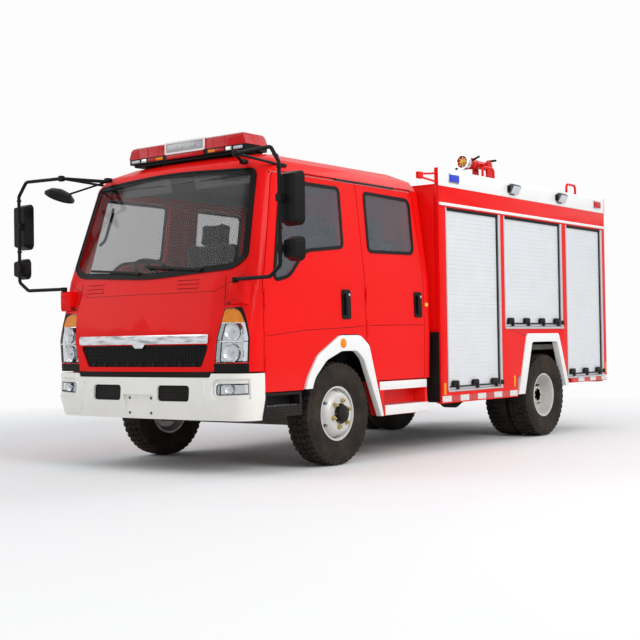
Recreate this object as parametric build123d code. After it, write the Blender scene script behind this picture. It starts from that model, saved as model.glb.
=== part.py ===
from build123d import *
import math
import os

os.makedirs("parts", exist_ok=True)

# Light fire truck with a crew cab.  Millimetres, Z up, ground at Z = 0.
# The front faces -Y and the vehicle's left side faces +X.

# Lengths along the truck and axle places
OVERALL = 5990.0
FRONT_OVERHANG = 1165.0
WHEELBASE = 3280.0
FRONT_Y = -OVERALL / 2
REAR_Y = OVERALL / 2
FA = FRONT_Y + FRONT_OVERHANG
RA = FA + WHEELBASE

# Clearances, and how far cutters reach past what they cut
FIT = 0.3
GAP = 7.0
RUN = 0.06
CUT = 300.0

# Wheels and tyres
TYRE_R = 402.5
TYRE_HW = 107.5
RIM_R = 231.0
SEAT_R = 206.0
RIM_HW = 86.0
RIM_LIP = 10.0
WELL_R = 194.0
DISC_SET = 115.0
DISC_T = 10.0
HUB_R = 80.0
DRUM_R = 158.0
FRONT_WX = 915.0
KING_SET = 115.0
KING_X = FRONT_WX - KING_SET
TWIN = 250.0

# Ladder frame
RAIL_X = 395.0
RAIL_W = 65.0
RAIL_T = 8.0
RAIL_TOP = 770.0
RAIL_BOT = 580.0
RAIL_F = FRONT_Y + 155.0
RAIL_R = REAR_Y - 150.0
WEB_X = RAIL_X - RAIL_T
AX_Z = TYRE_R

# Cab
CAB_HW = 1040.0
CAB_T = 50.0
CAB_FRAME = 105.0
CAB_TOP = 2400.0
DOOR_Z0 = 604.0
RDOOR_Z0 = 640.0
DOOR_TOP = 2228.0
DOOR_FRONT = FRONT_Y + 261.0
DOOR_MID = FA + 345.0
DOOR_REAR = FA + 1200.0
CAB_REAR = FA + 1326.0
FLOOR_Z = 930.0
FLOOR_T = 50.0
FLOOR_TOP = FLOOR_Z + FLOOR_T
FRONT_Z0 = 757.0
GLASS_T = 8.0
RAIL_Z = 2236.0
WALL_IN = CAB_HW - 200.0
RDOOR_GAP = 18.0

# Door hinges: pin line, barrel and leaf sizes
HINGE_X = CAB_HW - 6.0
HINGE_IN = 12.0
HINGE_R = 11.0
HINGE_PIN = 6.0
LEAF = 25.0
BARREL = 22.0
HINGE_SLOT = 3.0
HINGE_Z = dict(front=(780.0, 1275.0), rear=(1060.0, 1330.0))
HINGE_Y = dict(front=DOOR_FRONT + HINGE_IN, rear=DOOR_MID + GAP + HINGE_IN)

# Equipment body
BODY_HW = 1105.0
BODY_T = 50.0
CAB_SPACE = 31.0
TAIL = 120.0
BODY_F = CAB_REAR + CAB_SPACE
BODY_R = REAR_Y - TAIL
SKIRT_F = 410.0
SKIRT_R = 500.0
FLOOR2_Z = 850.0
FLOOR2_T = 50.0
FLOOR2_TOP = FLOOR2_Z + FLOOR2_T
ROOF2_Z = 2300.0
ROOF2_T = 40.0
END_T = 40.0
PARAPET_H = 152.0
PARAPET_Z = ROOF2_Z + PARAPET_H
PARAPET_T = 35.0
WALL_X = BODY_HW - BODY_T
REAR_OUT_X = BODY_HW - TYRE_HW - 2.5
REAR_MID_X = REAR_OUT_X - TWIN / 2

# Roof monitor
MON_Y = BODY_R - 685.0
MON_RISE = 560.0
MON_PIVOT_Z = ROOF2_Z + MON_RISE


def box(x0, x1, y0, y1, z0, z1):
    return Pos((x0 + x1) / 2, (y0 + y1) / 2, (z0 + z1) / 2) * Box(x1 - x0, y1 - y0, z1 - z0)


def cyl(p, q, r):
    start = Vector(*p)
    way = Vector(*q) - start
    plane = Plane(origin=start, z_dir=way)
    return extrude(plane * Circle(r), amount=way.length)


def outline(corners, place):
    """Flat face from (a, b, radius) corners."""
    stops = []
    count = len(corners)
    for i in range(count):
        here = Vector(corners[i][0], corners[i][1], 0)
        radius = corners[i][2] if len(corners[i]) > 2 else 0.0
        before = Vector(corners[i - 1][0], corners[i - 1][1], 0)
        after = Vector(corners[(i + 1) % count][0], corners[(i + 1) % count][1], 0)
        if radius <= 0:
            stops.append((here, None, here))
            continue
        u = (before - here).normalized()
        v = (after - here).normalized()
        half = math.radians(u.get_angle(v)) / 2
        back = radius / math.tan(half)
        mid = here + (u + v).normalized() * (radius / math.sin(half) - radius)
        stops.append((here + u * back, mid, here + v * back))
    edges = []
    for i in range(count):
        start, mid, end = stops[i]
        if mid is not None:
            edges.append(ThreePointArc(place(start), place(mid), place(end)))
        following = stops[(i + 1) % count][0]
        if (following - end).length > 1e-6:
            edges.append(Line(place(end), place(following)))
    return make_face(edges)


def grow(corners, d):
    """Corners moved outward by d (inward if negative), corner lines kept parallel."""
    count = len(corners)
    area = 0.0
    for i in range(count):
        a, b = corners[i], corners[(i + 1) % count]
        area += a[0] * b[1] - b[0] * a[1]
    sign = 1.0 if area > 0 else -1.0
    moved = []
    for i in range(count):
        p, q, r = corners[i - 1], corners[i], corners[(i + 1) % count]
        u = Vector(q[0] - p[0], q[1] - p[1], 0).normalized()
        v = Vector(r[0] - q[0], r[1] - q[1], 0).normalized()
        n1 = Vector(u.Y, -u.X, 0) * sign
        n2 = Vector(v.Y, -v.X, 0) * sign
        m = (n1 + n2) * (d / (1 + n1.dot(n2)))
        radius = q[2] if len(q) > 2 else 0.0
        moved.append((q[0] + m.X, q[1] + m.Y, max(radius + (d if radius else 0), 0)))
    return moved


def slab_x(corners, x0, x1):
    face = outline(corners, lambda p: (x0, p.X, p.Y))
    return extrude(face, amount=x1 - x0, dir=(1, 0, 0))


def slab_y(corners, y0, y1):
    face = outline(corners, lambda p: (p.X, y0, p.Y))
    return extrude(face, amount=y1 - y0, dir=(0, 1, 0))


def slab_z(corners, z0, z1):
    face = outline(corners, lambda p: (p.X, p.Y, z0))
    return extrude(face, amount=z1 - z0, dir=(0, 0, 1))


def turned(corners, x=0.0, y=0.0, z=0.0):
    """Body of revolution about a line along X, from (x, radius) corners."""
    face = outline(corners, lambda p: (p.X, 0, p.Y))
    return Pos(x, y, z) * revolve(face, axis=Axis.X)


def tube(points, r, bend):
    path = FilletPolyline(*points, radius=bend)
    return sweep(Plane(origin=path @ 0, z_dir=path % 0) * Circle(r), path=path)


def flip(shape):
    return mirror(shape, about=Plane.YZ)


def pair(shape):
    return [shape, flip(shape)]


def largest(shape):
    return shape.solids().sort_by(SortBy.VOLUME)[-1]


def solids(items):
    found = []
    for item in items:
        found += list(item.solids())
    return Compound(children=found)


def save(name, shape):
    export_step(shape, "parts/" + name + ".step")


# Flat sections of the cab: height, half width, setback of the front, setback of the rear, bow of the front
CAB_SECTIONS = [
    dict(z=560, hw=CAB_HW - 12, front=45, rear=6, bow=55),
    dict(z=1000, hw=CAB_HW, front=23, rear=0, bow=58),
    dict(z=1480, hw=CAB_HW - 10, front=125, rear=0, bow=66),
    dict(z=2245, hw=CAB_HW - 95, front=359, rear=34, bow=75),
    dict(z=2330, hw=CAB_HW - 150, front=420, rear=64, bow=70),
    dict(z=CAB_TOP, hw=CAB_HW - 300, front=575, rear=176, bow=60),
]
CAB_CORNER = 120.0
# The bumper runs back to the door edge; its rear end lies well behind that cut
BUMPER_BACK = CAB_REAR - FA + 600.0
BUMPER_SECTIONS = [
    dict(z=405, hw=CAB_HW - 28, front=30, rear=BUMPER_BACK, bow=62),
    dict(z=560, hw=CAB_HW + 5, front=0, rear=BUMPER_BACK, bow=62),
    dict(z=745, hw=CAB_HW + 5, front=15, rear=BUMPER_BACK, bow=62),
]
BUMPER_CORNER = 150.0
BUMPER_T = 60.0
BACK_CORNER = 60.0


def hull(sections, inset=0.0, corner=CAB_CORNER):
    """Closed body through flat sections, each a bowed front with rounded corners."""
    faces = []
    for row in sections:
        w = row["hw"] - inset
        f = FRONT_Y + row["front"] + inset
        r = CAB_REAR - row["rear"] - inset
        z = row["z"]
        if row is CAB_SECTIONS[-1]:
            z = CAB_TOP - inset
        bow = Edge.make_three_point_arc((-w, f + row["bow"], z), (0, f, z), (w, f + row["bow"], z))
        left = Line((w, f + row["bow"], z), (w, r, z))
        back = Line((w, r, z), (-w, r, z))
        right = Line((-w, r, z), (-w, f + row["bow"], z))
        face = make_face([bow, left, back, right])
        front_corners = face.vertices().sort_by(Axis.Y)[:2]
        face = fillet(front_corners, max(corner - inset * 0.6, 20))
        rear_corners = face.vertices().sort_by(Axis.Y)[-2:]
        face = fillet(rear_corners, max(BACK_CORNER - inset * 0.4, 15))
        faces.append(face)
    return loft(faces, ruled=True)


OUT = hull(CAB_SECTIONS)
IN_GLASS = hull(CAB_SECTIONS, GLASS_T)
IN_DOOR = hull(CAB_SECTIONS, CAB_T)
IN_GAP = hull(CAB_SECTIONS, CAB_T + GAP)
IN_FRAME = hull(CAB_SECTIONS, CAB_FRAME)

# Reach of the cutters for the cab's sides and front
SIDE_IN = CAB_HW - CUT - 140
SIDE_OUT = CAB_HW + CUT
AHEAD = FRONT_Y - CUT

# Door outlines as (y, z, corner radius)
ARCH = [
    (FA - 462, 560), (FA - 410, 697, 200), (FA - 290, 860, 150), (FA - 12, 1010, 130),
    (FA + 257, 1010, 130), (FA + 375, 930, 60), (FA + 570, 340), (FA + 400, 300), (FA - 300, 300),
]
ARCH_IN = [
    (FA - 385, 560), (FA - 330, 690, 150), (FA - 185, 820, 150), (FA + 10, 888, 100),
    (FA + 215, 888, 100), (FA + 300, 820, 60), (FA + 535, 340), (FA + 400, 290), (FA - 300, 290),
]
FRONT_DOOR = [
    (DOOR_FRONT, DOOR_Z0, 30), (DOOR_FRONT, 1400, 120), (DOOR_FRONT + 224, DOOR_TOP, 60),
    (DOOR_MID, DOOR_TOP, 30), (DOOR_MID, DOOR_Z0),
]
REAR_DOOR = [
    (DOOR_MID + GAP, RDOOR_Z0), (DOOR_MID + GAP, DOOR_TOP, 30),
    (DOOR_REAR - 30, DOOR_TOP, 70), (DOOR_REAR, 1500, 200), (DOOR_REAR, RDOOR_Z0, 40),
]
FRONT_WINDOW = [
    (DOOR_FRONT + 98, 1394, 50), (DOOR_FRONT + 294, 2185, 60), (DOOR_MID - 215, 2185, 50),
    (DOOR_MID - 240, 1690, 60), (DOOR_FRONT + 524, 1640, 200), (DOOR_FRONT + 304, 1440, 200),
]
REAR_WINDOW = [
    (DOOR_MID + 80, 1672, 50), (DOOR_MID + 100, 2180, 50), (DOOR_REAR - 80, 2170, 70),
    (DOOR_REAR - 95, 1686, 70),
]
FRONT_APERTURE = [
    (DOOR_FRONT + 74, 1000, 40), (DOOR_FRONT + 74, 1400, 120), (DOOR_FRONT + 276, 2180, 60),
    (DOOR_MID - 60, 2180, 40), (DOOR_MID - 60, 1060, 40),
]
REAR_APERTURE = [
    (DOOR_MID + 67, 1060, 40), (DOOR_MID + 67, 2180, 40), (DOOR_REAR - 80, 2180, 60),
    (DOOR_REAR - 60, 1500, 100), (DOOR_REAR - 60, 1000, 40),
]
ARCH_ROOM = dict(front=GAP, rear=RDOOR_GAP)


def hinge_leaf(which, inner, outer, y0, y1):
    """Fixed hinge leaves with their pins; the arm runs from inner to outer across and y0 to y1 along."""
    y = HINGE_Y[which]
    whole = None
    for z in HINGE_Z[which]:
        leaf = cyl((HINGE_X, y, z - LEAF), (HINGE_X, y, z + LEAF), HINGE_R)
        leaf = leaf + cyl((HINGE_X, y, z - LEAF - BARREL), (HINGE_X, y, z + LEAF + BARREL), HINGE_PIN)
        leaf = leaf + box(inner, outer, y + y0, y + y1, z - LEAF, z + LEAF)
        whole = leaf if whole is None else whole + leaf
    return whole


def hinge_door(panel, which):
    """Door with a notch and two barrels at each hinge."""
    y = HINGE_Y[which]
    for z in HINGE_Z[which]:
        notch_z = LEAF + HINGE_SLOT
        y0 = y - HINGE_IN - 5
        panel = panel - box(HINGE_X - 94, HINGE_X + 66, y0, y + HINGE_R + 5, z - notch_z, z + notch_z)
        for z0 in (z - notch_z - BARREL, z + notch_z):
            panel = panel + cyl((HINGE_X, y, z0), (HINGE_X, y, z0 + BARREL), HINGE_R)
        panel = panel - cyl((HINGE_X, y, z - 80), (HINGE_X, y, z + 80), HINGE_PIN + RUN)
    return panel


door_skin = OUT - IN_DOOR
glass_skin = OUT - IN_GLASS
for name, door, window in (("front", FRONT_DOOR, FRONT_WINDOW), ("rear", REAR_DOOR, REAR_WINDOW)):
    panel = door_skin & slab_x(door, SIDE_IN, SIDE_OUT)
    panel = panel - slab_x(grow(ARCH, ARCH_ROOM[name]), SIDE_IN, SIDE_OUT)
    panel = largest(panel - slab_x(window, SIDE_IN, SIDE_OUT))
    panel = largest(hinge_door(panel, name))
    pane = largest(glass_skin & slab_x(grow(window, -FIT), SIDE_IN, SIDE_OUT))
    save("door_" + name + "_left", panel)
    save("door_" + name + "_right", flip(panel))
    save("door_glass_" + name + "_left", pane)
    save("door_glass_" + name + "_right", flip(pane))

# Windscreen outline as (x, z, radius), seen from the front
SCREEN = [
    (-CAB_HW + 192, 1500, 200), (0, 1452, 3000), (CAB_HW - 192, 1500, 200), (CAB_HW - 102, 1590, 60),
    (CAB_HW - 184, 2262, 80), (0, 2300, 6000), (-CAB_HW + 184, 2262, 80), (-CAB_HW + 102, 1590, 60),
]
SCREEN_BACK = DOOR_FRONT + 344.0
screen_zone = slab_y(SCREEN, AHEAD, SCREEN_BACK - 40)
thick = OUT - IN_FRAME
save("windscreen", largest(glass_skin & slab_y(grow(SCREEN, -FIT), AHEAD, SCREEN_BACK)))

# Side frames: pillars and rails round the doors
door_blanks = [slab_x(grow(row, GAP), SIDE_IN, SIDE_OUT) for row in (FRONT_DOOR, REAR_DOOR)]
REAR_SPLIT = CAB_REAR - 56.0
side = (thick & box(0, SIDE_OUT, AHEAD, REAR_SPLIT, RDOOR_Z0, RAIL_Z)) - screen_zone
side = side - slab_x(grow(ARCH, GAP), SIDE_IN, SIDE_OUT)
low_zone = box(0, SIDE_OUT, AHEAD, CAB_REAR, 0, FLOOR_Z)
for blank in door_blanks:
    side = side - (blank - IN_GAP)
    side = side - (blank & low_zone)
side = side - (IN_GAP & box(0, SIDE_OUT, AHEAD, SCREEN_BACK - 40, 1480, RAIL_Z))
side = side - slab_x(FRONT_APERTURE, SIDE_IN, SIDE_OUT) - slab_x(REAR_APERTURE, SIDE_IN, SIDE_OUT)
side = side - box(-SIDE_OUT, SIDE_OUT, AHEAD, DOOR_FRONT - GAP, 0, 1600)
side = side - box(-CUT, WALL_IN, DOOR_REAR - CUT, CAB_REAR, 0, CAB_TOP + CUT)
side = side - screen_zone
side = side + hinge_leaf("rear", CAB_HW - 75, HINGE_X, -9, 9)
SLIVER = 2e5
both_sides = []
for piece in side.solids():
    if piece.volume > SLIVER:
        both_sides += pair(piece)
save("cab_sides", solids(both_sides))

roof = (OUT - IN_DOOR) & box(-SIDE_OUT, SIDE_OUT, AHEAD, CAB_REAR + CUT, RAIL_Z, CAB_TOP + CUT)
save("cab_roof", largest(roof - screen_zone))

rear_zone = box(-SIDE_OUT, SIDE_OUT, REAR_SPLIT, CAB_REAR + CUT, RDOOR_Z0, RAIL_Z)
rear_zone = rear_zone + box(-WALL_IN, WALL_IN, DOOR_REAR - 50, CAB_REAR + CUT, FLOOR_Z, RAIL_Z)
rear_zone = rear_zone - box(-WALL_IN, WALL_IN, DOOR_REAR - CUT, CAB_REAR + CUT, 0, FLOOR_Z)
save("cab_rear_wall", largest(thick & rear_zone))

# Front panel with the lamp and grille openings; outlines seen from the front as (x, z, radius)
FACE_BACK = DOOR_FRONT + 4
LAMP = [
    (CAB_HW - 308, 818, 20), (CAB_HW - 243, 1215, 30), (SIDE_OUT - 140, 1235), (SIDE_OUT - 140, 830),
]
LAMP_BACK = FRONT_Y + 124.0
GRILLE_X = CAB_HW - 350.0
GRILLE = [(-GRILLE_X + 78, 792, 30), (GRILLE_X - 78, 792, 30), (GRILLE_X, 955, 20), (-GRILLE_X, 955, 20)]
BAR = [
    (-GRILLE_X - 2, 963, 12), (-70, 963, 12), (-40, 932, 12), (40, 932, 12), (70, 963, 12),
    (GRILLE_X + 2, 963, 12), (GRILLE_X + 6, 1029, 12), (-GRILLE_X - 6, 1029, 12),
]
BAR_T = 14.0
GRILLE_SET = 12.0
# Pods above the head lamps, which carry the lower mirror mounts: side view as (y, z), plan as (x, y)
POD_X = CAB_HW - 178.0
POD_W = 130.0
POD_TOP = 1398.0
POD_SIDE = [
    (FRONT_Y + 56, POD_TOP, 25), (FRONT_Y + 230, POD_TOP), (FRONT_Y + 230, 1240), (FRONT_Y + 98, 1240, 30),
]
POD_PLAN = [
    (POD_X, FRONT_Y + 56, 45), (POD_X + POD_W, FRONT_Y + 80, 60), (POD_X + POD_W, FRONT_Y + 230),
    (POD_X, FRONT_Y + 230),
]
front = thick & box(-SIDE_OUT, SIDE_OUT, AHEAD, DOOR_FRONT - GAP, FRONT_Z0, 1600)
lamp_cut = slab_y(LAMP, AHEAD, LAMP_BACK)
front = front - screen_zone - lamp_cut - flip(lamp_cut) - slab_y(GRILLE, AHEAD, FACE_BACK)
pod = (slab_x(POD_SIDE, POD_X - CUT, POD_X + CUT) & slab_z(POD_PLAN, 1200, 1500)) - IN_DOOR
front_leaf = hinge_leaf("front", HINGE_X - 34, HINGE_X - 2, -HINGE_IN - GAP - 8, 0)
front = front + pod + flip(pod) + front_leaf + flip(front_leaf)
save("cab_front", largest(front))
lamp = (OUT - IN_DOOR) & slab_y(grow(LAMP, -FIT), AHEAD, LAMP_BACK - FIT)
lamp = largest(lamp & box(0, SIDE_OUT, AHEAD, FA, 0, CAB_TOP))
grille = (hull(CAB_SECTIONS, GRILLE_SET) - IN_DOOR) & slab_y(grow(GRILLE, -FIT), AHEAD, FACE_BACK)
save("chrome_bar", largest((hull(CAB_SECTIONS, -BAR_T) - OUT) & slab_y(BAR, AHEAD, FACE_BACK)))

# Bumper with its openings, lamp pockets and the flat seat of the plate
BUMPER_Z0 = BUMPER_SECTIONS[0]["z"]
BUMPER_Z1 = BUMPER_SECTIONS[-1]["z"]
INTAKE = [(194, 540, 30), (CAB_HW - 524, 540, 30), (CAB_HW - 524, 658, 30), (194, 658, 30)]
FOG = [(CAB_HW - 283, 586, 25), (CAB_HW + 60, 600), (CAB_HW + 60, 676), (CAB_HW - 283, 672, 25)]
FOG_BACK = FRONT_Y + 124.0
POCKET = 34.0
POCKET_T = 16.0
NOTCH = [(-700, 715, 20), (700, 715, 20), (740, 800), (-740, 800)]
PLATE_SET = 26.0
PLATE_SEAT = [(-150, 425, 12), (150, 425, 12), (172, 588, 12), (-172, 588, 12)]
BOLT_X = 115.0
BOLT_Z = (448.0, 560.0)
BOLT_R = 3.5


def bumper_hull(inset):
    return hull(BUMPER_SECTIONS, inset, BUMPER_CORNER)


bumper = bumper_hull(0) - bumper_hull(BUMPER_T)
bumper = bumper & box(-SIDE_OUT, SIDE_OUT, AHEAD, DOOR_FRONT - GAP, BUMPER_Z0, BUMPER_Z1)
bumper = bumper - slab_y(NOTCH, AHEAD, FACE_BACK)
pocket = slab_y(grow(FOG, POCKET), AHEAD, FOG_BACK) - bumper_hull(POCKET_T)
for cut in (slab_y(INTAKE, AHEAD, FACE_BACK), slab_y(FOG, AHEAD, FOG_BACK), pocket):
    bumper = bumper - cut - flip(cut)
bumper = largest(bumper - slab_y(PLATE_SEAT, AHEAD, FRONT_Y + PLATE_SET))
for sx in (-1, 1):
    for bz in BOLT_Z:
        bumper = bumper - cyl((sx * BOLT_X, AHEAD, bz), (sx * BOLT_X, FRONT_Y + 160, bz), BOLT_R)
# Brackets from the bumper back to the frame rails
for sx in (-1, 1):
    x0, x1 = sorted((sx * (RAIL_X - RAIL_W + 5), sx * RAIL_X))
    bumper = bumper + box(x0, x1, FRONT_Y + 55, RAIL_F, 666, 712)
save("bumper", bumper)
intake = (bumper_hull(20) - bumper_hull(50)) & slab_y(grow(INTAKE, -FIT), AHEAD, FACE_BACK)
fog = (bumper_hull(POCKET_T - 6) - bumper_hull(BUMPER_T)) & slab_y(grow(FOG, -FIT), AHEAD, FOG_BACK - FIT)
fog = largest(fog & box(0, SIDE_OUT, AHEAD, FA, 0, CAB_TOP))
save("grilles", solids([largest(grille)] + pair(intake)))
save("front_lamps", solids(pair(lamp) + pair(fog)))

# Cab floor with the engine hump and the pads that stand on the frame
HUMP_HW = CAB_HW - 780.0
HUMP_F = DOOR_FRONT + 344.0
floor = IN_FRAME & box(-SIDE_OUT, SIDE_OUT, AHEAD, CAB_REAR, FLOOR_Z, FLOOR_TOP)
floor = floor + box(-HUMP_HW, HUMP_HW, HUMP_F, FA + 420, FLOOR_TOP, 1160)
PAD_X = RAIL_X - RAIL_W / 2
for sx in (-1, 1):
    for y in (RAIL_F + 230, CAB_REAR - 226):
        floor = floor + box(sx * PAD_X - 33, sx * PAD_X + 33, y - 60, y + 60, RAIL_TOP, FLOOR_Z)
save("cab_floor", floor)

# Dashboard with the steering column, and the steering wheel
COL_X = 570.0 - CAB_HW
HUB_C = Vector(COL_X, DOOR_FRONT + 434, 1530)
TILT = math.radians(35)
COL_DIR = Vector(0, math.sin(TILT), math.cos(TILT))
COL_R = 42.0
HUB_LOW = 35.0
DASH = [
    (DOOR_FRONT - 56, FLOOR_TOP), (DOOR_FRONT + 204, FLOOR_TOP), (DOOR_FRONT + 244, 1240, 60),
    (DOOR_FRONT + 204, 1440, 60), (DOOR_FRONT + 4, 1490, 30), (DOOR_FRONT - 56, 1440),
]
dash = slab_x(DASH, -CAB_HW + 40, CAB_HW - 40) & hull(CAB_SECTIONS, CAB_FRAME + FIT)
dash = dash + cyl(tuple(HUB_C - COL_DIR * 350), tuple(HUB_C - COL_DIR * (HUB_LOW + FIT)), COL_R)
dash = dash + box(COL_X - 60, COL_X + 60, DOOR_FRONT + 214, DOOR_FRONT + 294, 1150, 1290)
save("dashboard", dash)
STEER_R = 205.0
STEER_GRIP = 15.0
wheel_plane = Plane(origin=HUB_C, z_dir=COL_DIR, x_dir=(1, 0, 0))
grip = revolve(wheel_plane * (Plane.XZ * Pos(STEER_R, 0) * Circle(STEER_GRIP)), axis=Axis(HUB_C, COL_DIR))
hub_disc = extrude(wheel_plane.offset(-HUB_LOW) * Circle(48), amount=HUB_LOW + 3)
arms = Rectangle(2 * STEER_R - 10, 38) + Pos(0, -STEER_R / 2 + 7) * Rectangle(46, STEER_R - 5)
save("steering_wheel", grip + hub_disc + extrude(wheel_plane.offset(-14) * arms, amount=12))

# Seats: place across, front, width; the profile is (back from the front, height, radius)
SEAT_X = CAB_HW - 520.0
SEATS = [
    dict(x=-SEAT_X, y=FA - 250, w=480.0),
    dict(x=SEAT_X, y=FA - 250, w=480.0),
    dict(x=0.0, y=FA + 560, w=2 * CAB_HW - 480),
]
SEAT_PROFILE = [
    (30, FLOOR_TOP), (480, FLOOR_TOP), (500, 1300), (600, 1980, 40), (500, 1990, 40), (385, 1420, 40),
    (0, 1410, 50), (0, 1300),
]
seats = []
for row in SEATS:
    profile = [(row["y"] + p[0], *p[1:]) for p in SEAT_PROFILE]
    seats.append(slab_x(profile, row["x"] - row["w"] / 2, row["x"] + row["w"] / 2))
save("seats", solids(seats))

# Ladder frame: two channel rails and cross members
rails = None
for sx in (-1, 1):
    x0, x1 = sorted((sx * (RAIL_X - RAIL_W), sx * RAIL_X))
    n0, n1 = sorted((sx * (RAIL_X - RAIL_W - 5), sx * WEB_X))
    rail = box(x0, x1, RAIL_F, RAIL_R, RAIL_BOT, RAIL_TOP)
    rail = rail - box(n0, n1, RAIL_F - 5, RAIL_R + 5, RAIL_BOT + RAIL_T, RAIL_TOP - RAIL_T)
    rails = rail if rails is None else rails + rail
save("frame_rails", rails)
CROSS_Y = (RAIL_F + 80, CAB_REAR - 26, RA - 1030, RA - 330, RA + 620, BODY_R - 145)
CROSS_W = 80.0
CROSS_H = 72.0
members = []
for y in CROSS_Y:
    top = RAIL_TOP - RAIL_T
    members.append(box(-WEB_X, WEB_X, y - CROSS_W / 2, y + CROSS_W / 2, top - CROSS_H, top))
save("cross_members", solids(members))

# Axles with their leaf springs
SPRING_X = RAIL_X - RAIL_W / 2
SPRING_HW = 30.0
EYE_R = 45.0
EYE_H = 55.0
PIN_R = 18.0
EAR_T = 50.0
EAR_GAP = 2.0


def spring(y, low, reach):
    """Leaf pack hanging from the rail over an axle whose top is at low."""
    eye = RAIL_BOT - 30
    half = reach / 2
    leaf = [
        (y - reach, eye), (y - half, low + 48), (y, low + 30), (y + half, low + 48), (y + reach, eye),
        (y + reach, RAIL_BOT), (y + reach - 50, RAIL_BOT), (y + reach - 60, eye + 20), (y + half, low + 84),
        (y, low + 70), (y - half, low + 84), (y - reach + 60, eye + 20), (y - reach + 50, RAIL_BOT),
        (y - reach, RAIL_BOT),
    ]
    pad = box(SPRING_X - 40, SPRING_X + 40, y - 55, y + 55, low - 20, low + 50)
    return slab_x(leaf, SPRING_X - SPRING_HW, SPRING_X + SPRING_HW) + pad


BEAM_END = KING_X - 30
BEAM_BEND = KING_X - 240
BEAM = [
    (-BEAM_END, AX_Z - 40), (-BEAM_BEND, AX_Z - 102), (BEAM_BEND, AX_Z - 102), (BEAM_END, AX_Z - 40),
    (BEAM_END, AX_Z + 40), (BEAM_BEND, AX_Z - 17), (-BEAM_BEND, AX_Z - 17), (-BEAM_END, AX_Z + 40),
]
beam = slab_y(BEAM, FA - 42, FA + 42)
EAR_TOP = EYE_H + EAR_GAP + EAR_T
for sx in (-1, 1):
    beam = beam + cyl((sx * KING_X, FA, AX_Z - EYE_H), (sx * KING_X, FA, AX_Z + EYE_H), EYE_R)
    beam = beam + cyl((sx * KING_X, FA, AX_Z - EAR_TOP - 3), (sx * KING_X, FA, AX_Z + EAR_TOP + 3), PIN_R)
front_spring = spring(FA, AX_Z - 17, 560)
save("front_axle", beam + front_spring + flip(front_spring))

SPINDLE_R = 30.0
SPINDLE_END = DISC_SET + 8
KNUCKLE_X = KING_X + 72
knuckle = None
for z0 in (AX_Z + EYE_H + EAR_GAP, AX_Z - EAR_TOP):
    ear = cyl((KING_X, FA, z0), (KING_X, FA, z0 + EAR_T), EYE_R)
    ear = ear + box(KING_X, KNUCKLE_X, FA - EYE_R, FA + EYE_R, z0, z0 + EAR_T)
    knuckle = ear if knuckle is None else knuckle + ear
knuckle = knuckle + box(KNUCKLE_X - 22, KNUCKLE_X, FA - 60, FA + 60, AX_Z - EAR_TOP, AX_Z + EAR_TOP)
knuckle = knuckle + cyl((KNUCKLE_X - 12, FA, AX_Z), (FRONT_WX + SPINDLE_END, FA, AX_Z), SPINDLE_R)
knuckle = knuckle - cyl((KING_X, FA, AX_Z - 130), (KING_X, FA, AX_Z + 130), PIN_R + RUN)
save("knuckle_left", knuckle)
save("knuckle_right", flip(knuckle))

REAR_SPINDLE_R = 45.0
REAR_SPINDLE_END = TWIN / 2 - 5
AXLE_HW = REAR_MID_X - 180
axle = cyl((-AXLE_HW, RA, AX_Z), (AXLE_HW, RA, AX_Z), 58)
spindle_x = REAR_MID_X + REAR_SPINDLE_END
axle = axle + cyl((-spindle_x, RA, AX_Z), (spindle_x, RA, AX_Z), REAR_SPINDLE_R)
axle = axle + turned([(-170, 0), (-170, 70), (-60, 150), (60, 150), (170, 70), (170, 0)], 0, RA, AX_Z)
axle = axle + cyl((0, RA - 240, AX_Z), (0, RA, AX_Z), 62)
rear_spring = spring(RA, AX_Z + 52.5, 620)
save("rear_axle", axle + rear_spring + flip(rear_spring))


def disc(c, d, dish):
    """Dished wheel disc inside the rim at c, facing d."""
    return turned([
        (c + d * 18, WELL_R + 3), (c + d * 34, WELL_R + 3), (c + d * (dish - 19), 166), (c + d * dish, 140),
        (c + d * dish, 70), (c + d * (dish - DISC_T), 70), (c + d * (dish - DISC_T), 136),
        (c + d * (dish - 29), 156),
    ])


def rim(c):
    seat = RIM_HW - RIM_LIP
    return turned([
        (c - RIM_HW, RIM_R), (c - seat, RIM_R), (c - seat, SEAT_R), (c + seat, SEAT_R), (c + seat, RIM_R),
        (c + RIM_HW, RIM_R), (c + RIM_HW, WELL_R + 6), (c + 70, WELL_R), (c - 70, WELL_R),
        (c - RIM_HW, WELL_R + 6),
    ])


def tyre(c):
    """Tyre with rounded sidewalls, flat crown and beads that sit in the rim."""
    h = TYRE_HW
    bead = RIM_HW - RIM_LIP - FIT
    return turned([
        (c - 66, TYRE_R), (c + 66, TYRE_R), (c + h - 8, TYRE_R - 14), (c + h, 316, 70),
        (c + RIM_HW - 2, RIM_R + 4), (c + bead, RIM_R + 4), (c + bead, SEAT_R + FIT), (c - bead, SEAT_R + FIT),
        (c - bead, RIM_R + 4), (c - RIM_HW + 2, RIM_R + 4), (c - h, 316, 70), (c - h + 8, TYRE_R - 14),
    ])


HOLES = 6
HOLE_AT = 176.0
HOLE_R = 15.0


def hand_holes(shape, x0, x1):
    for k in range(HOLES):
        a = math.tau * (k + 0.5) / HOLES
        y, z = HOLE_AT * math.cos(a), HOLE_AT * math.sin(a)
        shape = shape - cyl((x0, y, z), (x1, y, z), HOLE_R)
    return shape


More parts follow.
